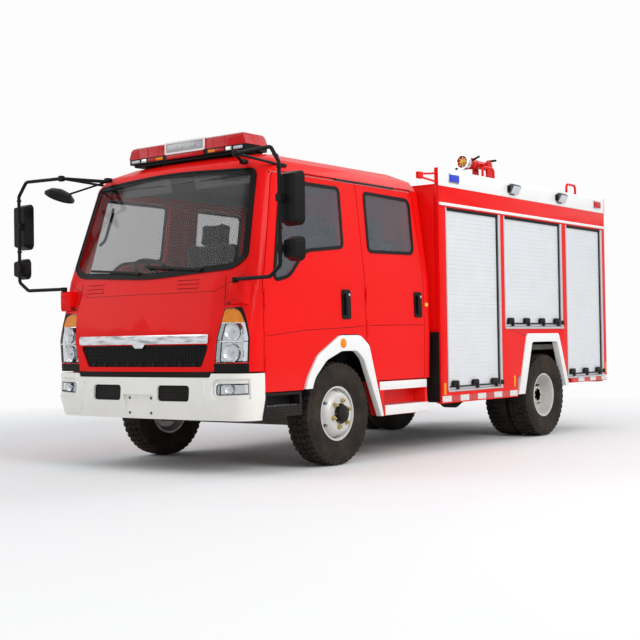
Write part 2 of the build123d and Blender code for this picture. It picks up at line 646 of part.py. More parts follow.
front_disc = hand_holes(disc(0, 1, DISC_SET), 40, DISC_SET + 45)
front_hub = turned([
    (-38, SPINDLE_R + RUN), (-38, DRUM_R), (38, DRUM_R), (44, HUB_R - 2), (DISC_SET + 4, HUB_R - 2),
    (DISC_SET + 6, 62), (DISC_SET + 30, 58), (DISC_SET + 34, 0), (DISC_SET + 12, 0),
    (DISC_SET + 12, SPINDLE_R + RUN),
])
front_wheel = Pos(FRONT_WX, FA, AX_Z) * (rim(0) + front_disc + front_hub)
front_tyre = Pos(FRONT_WX, FA, AX_Z) * tyre(0)
save("wheel_front_left", front_wheel)
save("wheel_front_right", flip(front_wheel))
save("tyre_front_left", front_tyre)
save("tyre_front_right", flip(front_tyre))

half = TWIN / 2
rear_hub = turned([
    (-150, REAR_SPINDLE_R + RUN), (-150, DRUM_R), (-50, DRUM_R), (-44, HUB_R), (half + 3, HUB_R),
    (half + 15, 60), (half + 15, 0), (half, 0), (half, REAR_SPINDLE_R + RUN),
])
outer_disc = hand_holes(disc(half, -1, half), 3, half - 5)
rear_wheel = rim(half) + rim(-half) + outer_disc + disc(-half, 1, half) + rear_hub
rear_wheel = Pos(REAR_MID_X, RA, AX_Z) * rear_wheel
rear_tyres = Pos(REAR_MID_X, RA, AX_Z) * solids([tyre(half), tyre(-half)])
save("wheels_rear_left", rear_wheel)
save("wheels_rear_right", flip(rear_wheel))
save("tyres_rear_left", rear_tyres)
save("tyres_rear_right", flip(rear_tyres))

# Engine, gearbox and propeller shaft
ENGINE_HW = 270.0
engine = box(-ENGINE_HW, ENGINE_HW, FA - 600, FA + 480, AX_Z + 52, FLOOR_Z - 25)
engine = engine + box(-170, 170, FA + 480, FA + 1100, 480, 800)
for sx in (-1, 1):
    x0, x1 = sorted((sx * ENGINE_HW, sx * WEB_X))
    engine = engine + box(x0, x1, FA + 160, FA + 280, 640, 690)
shaft = cyl((0, FA + 1090, 640), (0, RA - 200, AX_Z + 20), 42) - box(-200, 200, RA - 240, RA, 0, 1000)
save("engine", engine + shaft)

# Tank and battery box beside the frame behind the front wheels
TANK_X = CAB_HW - 140.0
TANK = [(FA + 640, 400, 60), (FA + 1200, 400, 60), (FA + 1200, 700, 60), (FA + 640, 700, 60)]
BATTERY = [(FA + 640, 410, 10), (FA + 1200, 410, 10), (FA + 1200, 690, 10), (FA + 640, 690, 10)]
save("side_tanks", solids([slab_x(TANK, -TANK_X, -RAIL_X), slab_x(BATTERY, RAIL_X, TANK_X)]))

# Wheel arch trims, front steps and side steps
FLARE = 8.0
REAR_FLARE = 9.0
TRIM_IN = CAB_HW - 40.0
trim_f = slab_x(ARCH, TRIM_IN, CAB_HW + FLARE) - slab_x(ARCH_IN, SIDE_IN, SIDE_OUT)
trim_f = trim_f - box(SIDE_IN, SIDE_OUT, FA - 700, FA, 0, DOOR_Z0 + 6)
trim_f = trim_f - box(SIDE_IN, SIDE_OUT, FA, FA + 900, 0, 352)
liner = box(CAB_HW - 160, CAB_HW, FA - 10, FA + 240, 892, FLOOR_Z)
trim_f = trim_f + (liner & slab_x(ARCH, SIDE_IN, CAB_HW + FLARE))
REAR_ARCH = [(RA - 603, 300), (RA - 380, 1010, 40), (RA + 285, 1010, 40), (RA + 568, 300)]
REAR_ARCH_IN = [(RA - 498, 250), (RA - 278, 928, 40), (RA + 250, 928, 40), (RA + 515, 250)]
BODY_IN = BODY_HW - CUT
BODY_OUT = BODY_HW + CUT
trim_r = slab_x(grow(REAR_ARCH, -FIT), WALL_X, BODY_HW + REAR_FLARE)
trim_r = trim_r - slab_x(REAR_ARCH_IN, BODY_IN, BODY_OUT)
trim_r = trim_r - box(BODY_IN, BODY_OUT, RA - 780, RA - 280, 0, SKIRT_F + 22)
trim_r = trim_r - box(BODY_IN, BODY_OUT, RA + 220, RA + 720, 0, SKIRT_R - 22)
save("arch_trims", solids(pair(trim_f) + pair(trim_r)))

STEP_IN = CAB_HW - 160.0
STEP_REAR = FA - 476.0
STEP_TOP = DOOR_Z0 - GAP
step_f = box(STEP_IN, CAB_HW - 8, DOOR_FRONT - GAP, STEP_REAR, 420, STEP_TOP)
step_f = step_f - box(STEP_IN + 50, SIDE_OUT, DOOR_FRONT + 30, STEP_REAR - 30, 500, 575)
save("front_steps", solids(pair(step_f)))
STEP = [(FA + 492, 632), (FA + 585, 353), (FA + 1237, 353), (FA + 1210, 632)]
step_s = slab_x(STEP, TANK_X, CAB_HW + 4) - box(TANK_X + 20, SIDE_OUT, FA + 575, FA + 1185, 437, 560)
save("side_steps", solids(pair(step_s)))

# Equipment body: table of side shutters as front, rear, bottom, top
POST_F = 109.0
POST_R = 76.0
SHUTTER_TOP = 2118.0
SHUTTERS = [
    dict(y0=BODY_F + POST_F, y1=RA - 858, z0=520.0, z1=SHUTTER_TOP),
    dict(y0=RA - 790, y1=RA + 400, z0=1075.0, z1=SHUTTER_TOP),
    dict(y0=RA + 492, y1=BODY_R - POST_R, z0=562.0, z1=SHUTTER_TOP),
]
SLAT = 38.0
SLAT_CUT = 2.5
SHUTTER_SET = 18.0
SHUTTER_T = 26.0
panel = slab_x([
    (BODY_F, SKIRT_F), (RA - 560, SKIRT_F), (RA - 560, 600), (RA + 570, 600), (RA + 570, SKIRT_R),
    (BODY_R, SKIRT_R), (BODY_R, ROOF2_Z), (BODY_F, ROOF2_Z),
], WALL_X, BODY_HW)
panel = panel - slab_x(REAR_ARCH, BODY_IN, BODY_OUT)


def curtain(face, z0, z1):
    """Profile of a slatted shutter whose outer side lies at face, as (out, z) corners."""
    count = int((z1 - z0) / SLAT)
    pitch = (z1 - z0) / count
    profile = [(face - SHUTTER_T, z0), (face, z0)]
    for k in range(1, count):
        z = z0 + pitch * k
        profile += [(face, z - 3), (face - SLAT_CUT, z), (face, z + 1)]
    return profile + [(face, z1), (face - SHUTTER_T, z1)]


curtains = []
for row in SHUTTERS:
    panel = panel - box(BODY_IN, BODY_OUT, row["y0"], row["y1"], row["z0"], row["z1"])
    profile = curtain(BODY_HW - SHUTTER_SET, row["z0"] + FIT, row["z1"] - FIT)
    curtains += pair(slab_y(profile, row["y0"] + FIT, row["y1"] - FIT))
save("body_sides", solids(pair(panel)))
save("body_front_wall", box(-WALL_X, WALL_X, BODY_F, BODY_F + END_T, FLOOR2_TOP, ROOF2_Z))
REAR_SHUT = dict(x=600.0, z0=960.0, z1=2080.0)
rear = box(-WALL_X, WALL_X, BODY_R - END_T, BODY_R, FLOOR2_TOP, ROOF2_Z)
reach = REAR_SHUT["x"]
rear = rear - box(-reach, reach, BODY_R - CUT, BODY_R + CUT, REAR_SHUT["z0"], REAR_SHUT["z1"])
save("body_rear_wall", rear)
profile = curtain(BODY_R - SHUTTER_SET + 4, REAR_SHUT["z0"] + FIT, REAR_SHUT["z1"] - FIT)
curtains.append(slab_x(profile, -reach + FIT, reach - FIT))
save("shutters", solids(curtains))

floor2 = box(-WALL_X, WALL_X, BODY_F, BODY_R, FLOOR2_Z, FLOOR2_TOP)
for sx in (-1, 1):
    x0, x1 = sorted((sx * (RAIL_X - RAIL_W), sx * RAIL_X))
    floor2 = floor2 + box(x0, x1, BODY_F + 30, RAIL_R, RAIL_TOP, FLOOR2_Z)
save("body_floor", floor2)
save("body_roof", box(-WALL_X, WALL_X, BODY_F + END_T, BODY_R - END_T, ROOF2_Z - ROOF2_T, ROOF2_Z))

TRAY_IN = 480.0
TRAY_T = 25.0


def tray(y0, y1, z0):
    """Low locker under the body floor, open to its shutter."""
    whole = box(TRAY_IN, WALL_X, y0, y1, z0, FLOOR2_Z)
    return whole - box(TRAY_IN + TRAY_T, WALL_X + CUT, y0 + TRAY_T, y1 - TRAY_T, z0 + TRAY_T, FLOOR2_Z + CUT)


front_tray = tray(BODY_F, RA - 640, SKIRT_F + 10)
rear_tray = tray(RA + 580, BODY_R, SKIRT_R + 10)
save("lockers", solids(pair(front_tray) + pair(rear_tray)))
save("parapet", solids(pair(box(BODY_HW - PARAPET_T, BODY_HW, BODY_F, BODY_R, ROOF2_Z, PARAPET_Z))))

# Lamps on the body: middle along and up, length, height, depth
LAMP_Z = ROOF2_Z + 80.0
LAMPS = [
    dict(y=BODY_F + 255, l=180.0, h=76.0, d=14.0),
    dict(y=BODY_R - 181, l=170.0, h=76.0, d=14.0),
    dict(y=RA - 620, l=170.0, h=100.0, d=50.0),
    dict(y=RA + 365, l=170.0, h=100.0, d=50.0),
]
lamps = []
for row in LAMPS:
    y0, y1 = row["y"] - row["l"] / 2, row["y"] + row["l"] / 2
    z0, z1 = LAMP_Z - row["h"] / 2, LAMP_Z + row["h"] / 2
    lamps += pair(box(BODY_HW, BODY_HW + row["d"], y0, y1, z0, z1))
TAIL_LAMP = dict(x0=BODY_HW - 225, x1=BODY_HW - 65, z0=640.0, z1=820.0, d=30.0)
tail_y = BODY_R + TAIL_LAMP["d"]
lamps += pair(box(TAIL_LAMP["x0"], TAIL_LAMP["x1"], BODY_R, tail_y, TAIL_LAMP["z0"], TAIL_LAMP["z1"]))
save("body_lamps", solids(lamps))

# Grab loops on the parapet, and the tube horns ahead of it with their end blocks
LOOP_R = 12.0
LOOP_H = 92.0
LOOP_HW = 100.0
LOOP_X = BODY_HW - PARAPET_T / 2
HORN_R = 9.0
HORN_L = 300.0
HORN_Z = (PARAPET_Z - 122, PARAPET_Z - 47)
HORN_TIP_Z = PARAPET_Z - 90
loops = []
for y in (BODY_F + 893, BODY_R - 755):
    top = PARAPET_Z + LOOP_H
    route = [
        (LOOP_X, y - LOOP_HW, PARAPET_Z), (LOOP_X, y - LOOP_HW, top), (LOOP_X, y + LOOP_HW, top),
        (LOOP_X, y + LOOP_HW, PARAPET_Z),
    ]
    loops += pair(tube(route, LOOP_R, 40))
tip_y = BODY_F - HORN_L
horn = box(LOOP_X - 14, LOOP_X + 14, tip_y, tip_y + 70, HORN_TIP_Z - 28, HORN_TIP_Z + 28)
for z in HORN_Z:
    side_step = math.copysign(12, z - HORN_TIP_Z)
    horn = horn + cyl((LOOP_X, tip_y + 35, HORN_TIP_Z + side_step), (LOOP_X, BODY_F + 5, z), HORN_R)
horn = horn - box(LOOP_X - CUT, LOOP_X + CUT, BODY_F - FIT, BODY_F + CUT, ROOF2_Z, PARAPET_Z)
save("roof_handles", solids(loops + pair(horn)))

# Rear step with the tow eye, and the rear ladder
STEP_X = BODY_HW - 105.0
STEP_Z = (480.0, 530.0)
step_r = box(-STEP_X, STEP_X, BODY_R, REAR_Y, *STEP_Z)
for sx in (-1, 1):
    x0, x1 = sorted((sx * (RAIL_X - RAIL_W), sx * RAIL_X))
    step_r = step_r + box(x0, x1, RAIL_R, REAR_Y - 40, STEP_Z[0] + 20, RAIL_BOT + 60)
TOW_Y = REAR_Y - 70.0
TOW_Z = 436.0
TOW_R = 20.0
TOW_T = 30.0
EYE = [
    (TOW_Y - 45, STEP_Z[0] + 5), (TOW_Y - 45, 395, 40), (TOW_Y + 45, 395, 40), (TOW_Y + 45, STEP_Z[0] + 5),
]
step_r = step_r + slab_x(EYE, -TOW_T / 2, TOW_T / 2)
step_r = step_r - cyl((-TOW_T, TOW_Y, TOW_Z), (TOW_T, TOW_Y, TOW_Z), TOW_R)
save("rear_step", step_r)
STILES = (-BODY_HW + 105, -BODY_HW + 405)
LADDER_Z = 940.0
LADDER_TOP = ROOF2_Z + 120.0
LADDER_Y = BODY_R + 75.0
STILE_R = 16.0
RUNG_R = 13.0
RUNGS = 6
RUNG_STEP = 270.0
ladder = None
for x in STILES:
    route = [
        (x, BODY_R, LADDER_Z), (x, LADDER_Y, LADDER_Z), (x, LADDER_Y, LADDER_TOP),
        (x, BODY_R - 120, LADDER_TOP), (x, BODY_R - 120, ROOF2_Z),
    ]
    stile = tube(route, STILE_R, 40)
    ladder = stile if ladder is None else ladder + stile
for k in range(RUNGS):
    z = LADDER_Z + 70 + RUNG_STEP * k
    ladder = ladder + cyl((STILES[0], LADDER_Y, z), (STILES[1], LADDER_Y, z), RUNG_R)
save("rear_ladder", ladder)

# Roof monitor: riser on a foot, turning yoke and barrel with its nozzle head
MON_Z = MON_PIVOT_Z - 250.0
SWIVEL_R = 36.0
TRUNNION_R = 22.0
YOKE_IN = 72.0
YOKE_OUT = 96.0
foot = [(-110, ROOF2_Z), (110, ROOF2_Z), (62, ROOF2_Z + 120), (-62, ROOF2_Z + 120)]
riser = slab_y(foot, MON_Y - 110, MON_Y + 110)
riser = riser & slab_x([(MON_Y + p[0], p[1]) for p in foot], -110, 110)
riser = riser + cyl((0, MON_Y, ROOF2_Z), (0, MON_Y, MON_Z), 60)
riser = riser + cyl((0, MON_Y, MON_Z), (0, MON_Y, MON_Z + 60), SWIVEL_R)
save("monitor_base", riser)
yoke = cyl((0, MON_Y, MON_Z + 5), (0, MON_Y, MON_Z + 85), YOKE_IN)
yoke = yoke - cyl((0, MON_Y, MON_Z), (0, MON_Y, MON_Z + 66), SWIVEL_R + RUN)
CHEEK = [
    (MON_Y - 55, MON_Z + 70), (MON_Y + 55, MON_Z + 70), (MON_Y + 45, MON_PIVOT_Z + 45, 30),
    (MON_Y - 45, MON_PIVOT_Z + 45, 30),
]
cheek = slab_x(CHEEK, YOKE_IN, YOKE_OUT)
yoke = yoke + box(-YOKE_OUT, YOKE_OUT, MON_Y - 55, MON_Y + 55, MON_Z + 70, MON_Z + 95)
pin_hole = cyl((-150, MON_Y, MON_PIVOT_Z), (150, MON_Y, MON_PIVOT_Z), TRUNNION_R + RUN)
save("monitor_yoke", (yoke + cheek + flip(cheek)) - pin_hole)
NOZZLE = [
    (-150, 0), (-150, 45), (190, 45), (210, 62), (330, 62), (350, 78), (420, 78), (420, 58), (395, 50),
    (395, 0),
]
barrel = Pos(0, MON_Y, MON_PIVOT_Z) * (Rot(0, 0, -90) * turned(NOZZLE))
barrel = barrel + cyl((-YOKE_OUT, MON_Y, MON_PIVOT_Z), (YOKE_OUT, MON_Y, MON_PIVOT_Z), TRUNNION_R)
save("monitor_barrel", barrel)

# Light bar on the cab roof: base with feet and a raised middle, and two lenses with sloped ends
BAR_X = 640.0
BAR_MID = 205.0
BAR_Y0 = FRONT_Y + 544.0
BAR_Y1 = BAR_Y0 + 260.0
BAR_Z = (CAB_TOP + 36, CAB_TOP + 80, CAB_TOP + 172)
BAR_FOOT = BAR_X - 130.0
base = box(-BAR_X + 8, BAR_X - 8, BAR_Y0, BAR_Y1, BAR_Z[0], BAR_Z[1])
for sx in (-1, 1):
    x = sx * BAR_FOOT
    bar_foot = box(x - 35, x + 35, BAR_Y0 + 90, BAR_Y1 - 50, CAB_TOP - 70, BAR_Z[0])
    base = base + (bar_foot - hull(CAB_SECTIONS, -FIT))
base = base + box(-BAR_MID, BAR_MID, BAR_Y0, BAR_Y1, BAR_Z[1], BAR_Z[2])
save("light_bar_base", base)
LENS_SIDE = [(BAR_Y0, BAR_Z[1]), (BAR_Y1, BAR_Z[1]), (BAR_Y1, BAR_Z[2], 35), (BAR_Y0, BAR_Z[2], 35)]
LENS_FRONT = [
    (BAR_MID + FIT, BAR_Z[1]), (BAR_X, BAR_Z[1]), (BAR_X - 38, BAR_Z[2], 20), (BAR_MID + FIT, BAR_Z[2]),
]
lens = slab_x(LENS_SIDE, 0, BAR_X) & slab_y(LENS_FRONT, BAR_Y0 - CUT, BAR_Y1 + CUT)
save("light_bar_lenses", solids(pair(lens)))

# Mirrors: tube arm from the pod round to the roof with a stay, and two heads behind the post
ARM_R = 14.0
STAY_R = 10.0
POST_X = CAB_HW + 362.0
POST_Y = FRONT_Y + ARM_R + 2
BALL = (POD_X + 63, FRONT_Y + 84.0)
CLAMP = (CAB_HW - 94, FRONT_Y + 83, 2315.0)
near = hull(CAB_SECTIONS, -FIT)
arm = tube([
    (BALL[0], BALL[1], POD_TOP + 20), (POST_X - 102, POST_Y + 8, POD_TOP + 20), (POST_X, POST_Y, 1490),
    (POST_X, POST_Y, 2200), (POST_X - 82, POST_Y + 12, CLAMP[2]), CLAMP, (CAB_HW - 298, FRONT_Y + 396, 2300),
], ARM_R, 40)
arm = arm + cyl((*BALL, POD_TOP + FIT), (*BALL, POD_TOP + 34), 24)
arm = arm + cyl(CLAMP, (CAB_HW - 120, FRONT_Y + 638, 2290), STAY_R)
arm = largest(arm - near)
# Oval look-down mirror on the right arm only: its place, the foot of its stem on the arm, disc radius and tilt
OVAL_C = Vector(9 - CAB_HW, FRONT_Y + 132, 2173.0)
OVAL_FOOT = Vector(298 - CAB_HW, FRONT_Y + 396, 2300.0)
OVAL_R = 125.0
OVAL_TILT = -62.0
OVAL_STEM = 8.0
OVAL_SEAT = 56.0
oval_way = (OVAL_C - OVAL_FOOT).normalized()
stem_end = OVAL_C - oval_way * OVAL_SEAT
stem = cyl(tuple(OVAL_FOOT), tuple(stem_end), OVAL_STEM)
right_arm = largest((flip(arm) + stem) - near)
save("mirror_arms", solids([arm, right_arm]))
# Heads: middle across, back from the post, bottom, top, half width
HEADS = [
    dict(x=POST_X + 42, y=POST_Y + 34, z0=1765.0, z1=2145.0, hw=96.0),
    dict(x=POST_X + 60, y=POST_Y + 30, z0=1520.0, z1=1692.0, hw=80.0),
]
HEAD_T = 75.0
HEAD_TAPER = 26.0
heads = []
for row in HEADS:
    x0, x1, z0, z1 = row["x"] - row["hw"], row["x"] + row["hw"], row["z0"], row["z1"]
    back = [(x0, z0, 45), (x1, z0, 45), (x1, z1, 45), (x0, z1, 45)]
    face_y = row["y"]
    faces = [
        outline(grow(back, -HEAD_TAPER), lambda p: (p.X, face_y, p.Y)),
        outline(back, lambda p: (p.X, face_y + HEAD_T, p.Y)),
    ]
    mid_z = (z0 + z1) / 2
    grip = box(POST_X - 24, POST_X + 24, POST_Y - 15, face_y + 10, mid_z - 24, mid_z + 24)
    head = loft(faces, ruled=True) + grip
    heads += pair(head - cyl((POST_X, POST_Y, 1300), (POST_X, POST_Y, 2300), ARM_R + 2 * FIT))
oval = turned([(0, 0), (0, OVAL_R), (14, OVAL_R), (48, 88), (66, 30), (66, 0)])
oval = Pos(OVAL_C) * (Rot(0, OVAL_TILT, 0) * oval)
heads.append(oval - cyl(tuple(OVAL_FOOT), tuple(stem_end + oval_way * FIT), OVAL_STEM + 2 * FIT))
save("mirror_heads", solids(heads))

# Wipers lying on the windscreen
WIPER_LIFT = 10.0
WIPER_T = 14.0
near = hull(CAB_SECTIONS, -WIPER_LIFT)
far = hull(CAB_SECTIONS, -WIPER_LIFT - WIPER_T)
blades = []
for x in (-120, 520):
    run = [(x - 560, 1545), (x + 30, 1500), (x + 30, 1518), (x - 560, 1563)]
    blade = (far - near) & slab_y(run, AHEAD, FACE_BACK)
    post = cyl((x, FRONT_Y + 15, 1509), (x, FRONT_Y + 265, 1509), 14)
    blades.append(largest(blade + ((post & far) - OUT)))
save("wipers", solids(blades))
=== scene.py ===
# %% [markdown]
# # Dressing a light fire truck
# The solids of the truck come from a CAD model: cab, doors, equipment body, wheels and roof monitor.
# They are loaded as a fixed frame, and this lesson adds what the eye looks for from a step away:
# paint and rubber, lamp reflectors, tyre tread, shutter hardware, seats and small fittings.
# Everything is in metres. The front faces -Y, the vehicle's left side faces +X and the ground is Z = 0.

# %% Load the frame
import bpy
import bmesh
import math
from mathutils import Matrix, Vector
from mathutils.bvhtree import BVHTree


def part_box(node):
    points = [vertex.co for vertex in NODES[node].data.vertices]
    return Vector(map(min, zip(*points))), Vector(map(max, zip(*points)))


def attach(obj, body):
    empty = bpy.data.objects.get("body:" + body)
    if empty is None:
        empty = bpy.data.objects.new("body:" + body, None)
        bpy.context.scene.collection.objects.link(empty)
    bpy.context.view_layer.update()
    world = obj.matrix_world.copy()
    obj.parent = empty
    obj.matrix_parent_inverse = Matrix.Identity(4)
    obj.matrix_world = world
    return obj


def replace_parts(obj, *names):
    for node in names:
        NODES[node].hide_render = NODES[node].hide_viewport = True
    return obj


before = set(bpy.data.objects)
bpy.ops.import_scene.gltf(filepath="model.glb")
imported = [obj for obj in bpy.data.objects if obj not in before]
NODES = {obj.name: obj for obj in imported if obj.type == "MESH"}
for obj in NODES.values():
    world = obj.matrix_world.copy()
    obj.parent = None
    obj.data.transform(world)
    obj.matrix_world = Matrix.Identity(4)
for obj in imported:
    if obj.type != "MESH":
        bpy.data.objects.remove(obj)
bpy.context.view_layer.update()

# %% [markdown]
# ## Measures
# A fitting looks right when it sits exactly on the panel that carries it. So places are read from the
# boxes of the CAD nodes, and only the sizes of the fittings themselves are written here as numbers.

# %% Measures taken from the frame
def middle(node):
    low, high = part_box(node)
    return (low + high) / 2


FRONT_HUB = middle("tyre_front_left")
REAR_HUB = middle("tyres_rear_left")
AXLE_F = FRONT_HUB.y
AXLE_R = REAR_HUB.y
TYRE_RADIUS = FRONT_HUB.z
BODY_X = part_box("body_sides")[1].x
BODY_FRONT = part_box("body_sides")[0].y
BODY_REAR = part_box("body_sides")[1].y
PARAPET_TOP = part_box("parapet")[1].z
ROOF_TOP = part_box("body_roof")[1].z
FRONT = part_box("bumper")[0].y
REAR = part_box("rear_step")[1].y
OUTWARD = Vector((1, 0, 0))
AHEAD = Vector((0, -1, 0))
BACK = Vector((0, 1, 0))
UP = Vector((0, 0, 1))
SIDES = (("left", 1), ("right", -1))
print("axles", round(AXLE_F, 3), round(AXLE_R, 3), "body half width", round(BODY_X, 3))

# %% [markdown]
# ## Small modelling helpers
# Each helper makes one simple shape in a bmesh of its own with Blender's operators, then joins it to the
# fitting. Working in a bmesh of its own means that an operator can act on everything in it, so no part of
# the fitting that is already done is caught by a bevel or an extrusion.

# %% Join a part, blocks and rods
def join(bm, part, paint=0):
    """Adds a finished part to a fitting and gives its faces one material number."""
    for face in part.faces:
        face.material_index = paint
    bmesh.ops.recalc_face_normals(part, faces=part.faces)
    mesh = bpy.data.meshes.new("part")
    part.to_mesh(mesh)
    part.free()
    bm.from_mesh(mesh)
    bpy.data.meshes.remove(mesh)


def round_edges(part, by, segments=2, least=0.6):
    """Bevels every edge that is sharper than least, in radians."""
    sharp = [e for e in part.edges if e.is_manifold and e.calc_face_angle() > least]
    if by > 0 and sharp:
        bmesh.ops.bevel(part, geom=sharp, offset=by, segments=segments, profile=0.5, affect="EDGES",
                        material=-1, clamp_overlap=True)


def block(bm, low, high, edge=0.004, segments=2, paint=0, turn=None):
    """Box between two corners with rounded edges, turned about its middle by a matrix."""
    low = Vector(low)
    high = Vector(high)
    part = bmesh.new()
    bmesh.ops.create_cube(part, size=1.0)
    bmesh.ops.scale(part, verts=part.verts, vec=high - low)
    round_edges(part, edge, segments)
    if turn is not None:
        bmesh.ops.transform(part, matrix=turn.to_4x4(), verts=part.verts)
    bmesh.ops.translate(part, verts=part.verts, vec=(low + high) / 2)
    join(bm, part, paint)


def slab(bm, x, y, z, edge=0.004, segments=2, paint=0, turn=None):
    """Block between pairs of limits along the three axes."""
    block(bm, (x[0], y[0], z[0]), (x[1], y[1], z[1]), edge, segments, paint, turn)


def rod(bm, start, end, radius, segments=16, paint=0, tip=None, edge=0.0):
    """Round bar from start to end; tip gives another radius at the end."""
    start = Vector(start)
    way = Vector(end) - start
    part = bmesh.new()
    bmesh.ops.create_cone(part, cap_ends=True, segments=segments, radius1=radius,
                          radius2=radius if tip is None else tip, depth=way.length)
    round_edges(part, edge)
    turn = way.to_track_quat("Z", "Y").to_matrix().to_4x4()
    bmesh.ops.transform(part, matrix=Matrix.Translation(start + way / 2) @ turn, verts=part.verts)
    join(bm, part, paint)


# %% Turned shapes and plates
def turned(bm, profile, origin, axis, steps=32, paint=0):
    """Turned shape from (along, radius) pairs, spun about the axis through origin."""
    origin = Vector(origin)
    axis = Vector(axis).normalized()
    side = axis.orthogonal().normalized()
    part = bmesh.new()
    chain = [part.verts.new(origin + axis * a + side * r) for a, r in profile]
    edges = [part.edges.new(pair) for pair in zip(chain, chain[1:])]
    bmesh.ops.spin(part, geom=chain + edges, cent=origin, axis=axis, angle=math.tau, steps=steps,
                   use_merge=True)
    bmesh.ops.remove_doubles(part, verts=part.verts, dist=1e-5)
    join(bm, part, paint)


def flat(corners, place, round_by=0.0, segments=5):
    """Bmesh with one face through (a, b) corners, rounded at each; place maps a corner into space."""
    part = bmesh.new()
    verts = [part.verts.new(place(a, b)) for a, b in corners]
    part.faces.new(verts)
    if round_by > 0:
        bmesh.ops.bevel(part, geom=verts, offset=round_by, segments=segments, profile=0.5,
                        affect="VERTICES", material=-1)
    return part


def thicken(part, depth):
    """Extrudes all faces of a flat part by the depth vector."""
    made = bmesh.ops.extrude_face_region(part, geom=list(part.faces))
    pushed = [v for v in made["geom"] if isinstance(v, bmesh.types.BMVert)]
    bmesh.ops.translate(part, verts=pushed, vec=Vector(depth))


def frame_of(part, width):
    """Leaves only a border of the given width along the outline of a flat part."""
    inner = list(part.faces)
    bmesh.ops.inset_region(part, faces=inner, thickness=width, use_boundary=True, use_even_offset=True)
    bmesh.ops.delete(part, geom=inner, context="FACES")


def slice_along(part, axis, low, high, step):
    """Cuts a part by planes square to an axis, so that it can follow a curved panel."""
    count = int((high - low) / step)
    for k in range(1, count + 1):
        everything = list(part.verts) + list(part.edges) + list(part.faces)
        spot = Vector(axis) * (low + k * (high - low) / (count + 1))
        bmesh.ops.bisect_plane(part, geom=everything, dist=1e-5, plane_co=spot, plane_no=axis)


def place_x(x):
    return lambda a, b: (x, a, b)


def place_y(y):
    return lambda a, b: (a, y, b)


def rectangle(a0, a1, b0, b1):
    return [(a0, b0), (a1, b0), (a1, b1), (a0, b1)]


def about(spot, half):
    """Pair of limits at equal distance from a spot."""
    return (spot - half, spot + half)


def moved(pair, by):
    return (pair[0] + by, pair[1] + by)


def span(inner, outer, way):
    """Pair of limits on one side of the truck, in rising order."""
    return sorted((way * inner, way * outer))


# %% Make the object
def finish_piece(name, bm, finishes, body="chassis", crease=35.0):
    """Turns a bmesh into a piece that rides on a body, smooth up to a crease angle in degrees."""
    mesh = bpy.data.meshes.new(name)
    bm.to_mesh(mesh)
    bm.free()
    for finish in finishes:
        mesh.materials.append(finish)
    mesh.shade_smooth()
    mesh.set_sharp_from_angle(angle=math.radians(crease))
    piece = bpy.data.objects.new(name, mesh)
    bpy.context.collection.objects.link(piece)
    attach(piece, body)
    print(name, "rides on", body, "with", len(mesh.polygons), "faces")
    return piece


def both_sides(bm):
    """Adds the mirror image across the middle of the truck."""
    everything = list(bm.verts) + list(bm.edges) + list(bm.faces)
    made = bmesh.ops.duplicate(bm, geom=everything)["geom"]
    verts = [g for g in made if isinstance(g, bmesh.types.BMVert)]
    faces = [g for g in made if isinstance(g, bmesh.types.BMFace)]
    bmesh.ops.scale(bm, verts=verts, vec=(-1, 1, 1))
    bmesh.ops.reverse_faces(bm, faces=faces)


# %% [markdown]
# ## Finishes
# Real surfaces are never one flat colour. Every finish starts from the same recipe: a noise on Object
# coordinates shifts the colour a little, another range of it drives the roughness, and a fine bump breaks
# the highlight. Each finish then gets what is its own, such as ribs, weave, slats or dust.

# %% The common recipe
def srgb(red, green, blue):
    """Screen colour, 0 to 255, as the linear colour that shaders use."""
    def line(v):
        v = v / 255
        return v / 12.92 if v <= 0.04045 else ((v + 0.055) / 1.055) ** 2.4
    return (line(red), line(green), line(blue), 1.0)


def shaded(colour, by):
    return (colour[0] * by, colour[1] * by, colour[2] * by, 1.0)


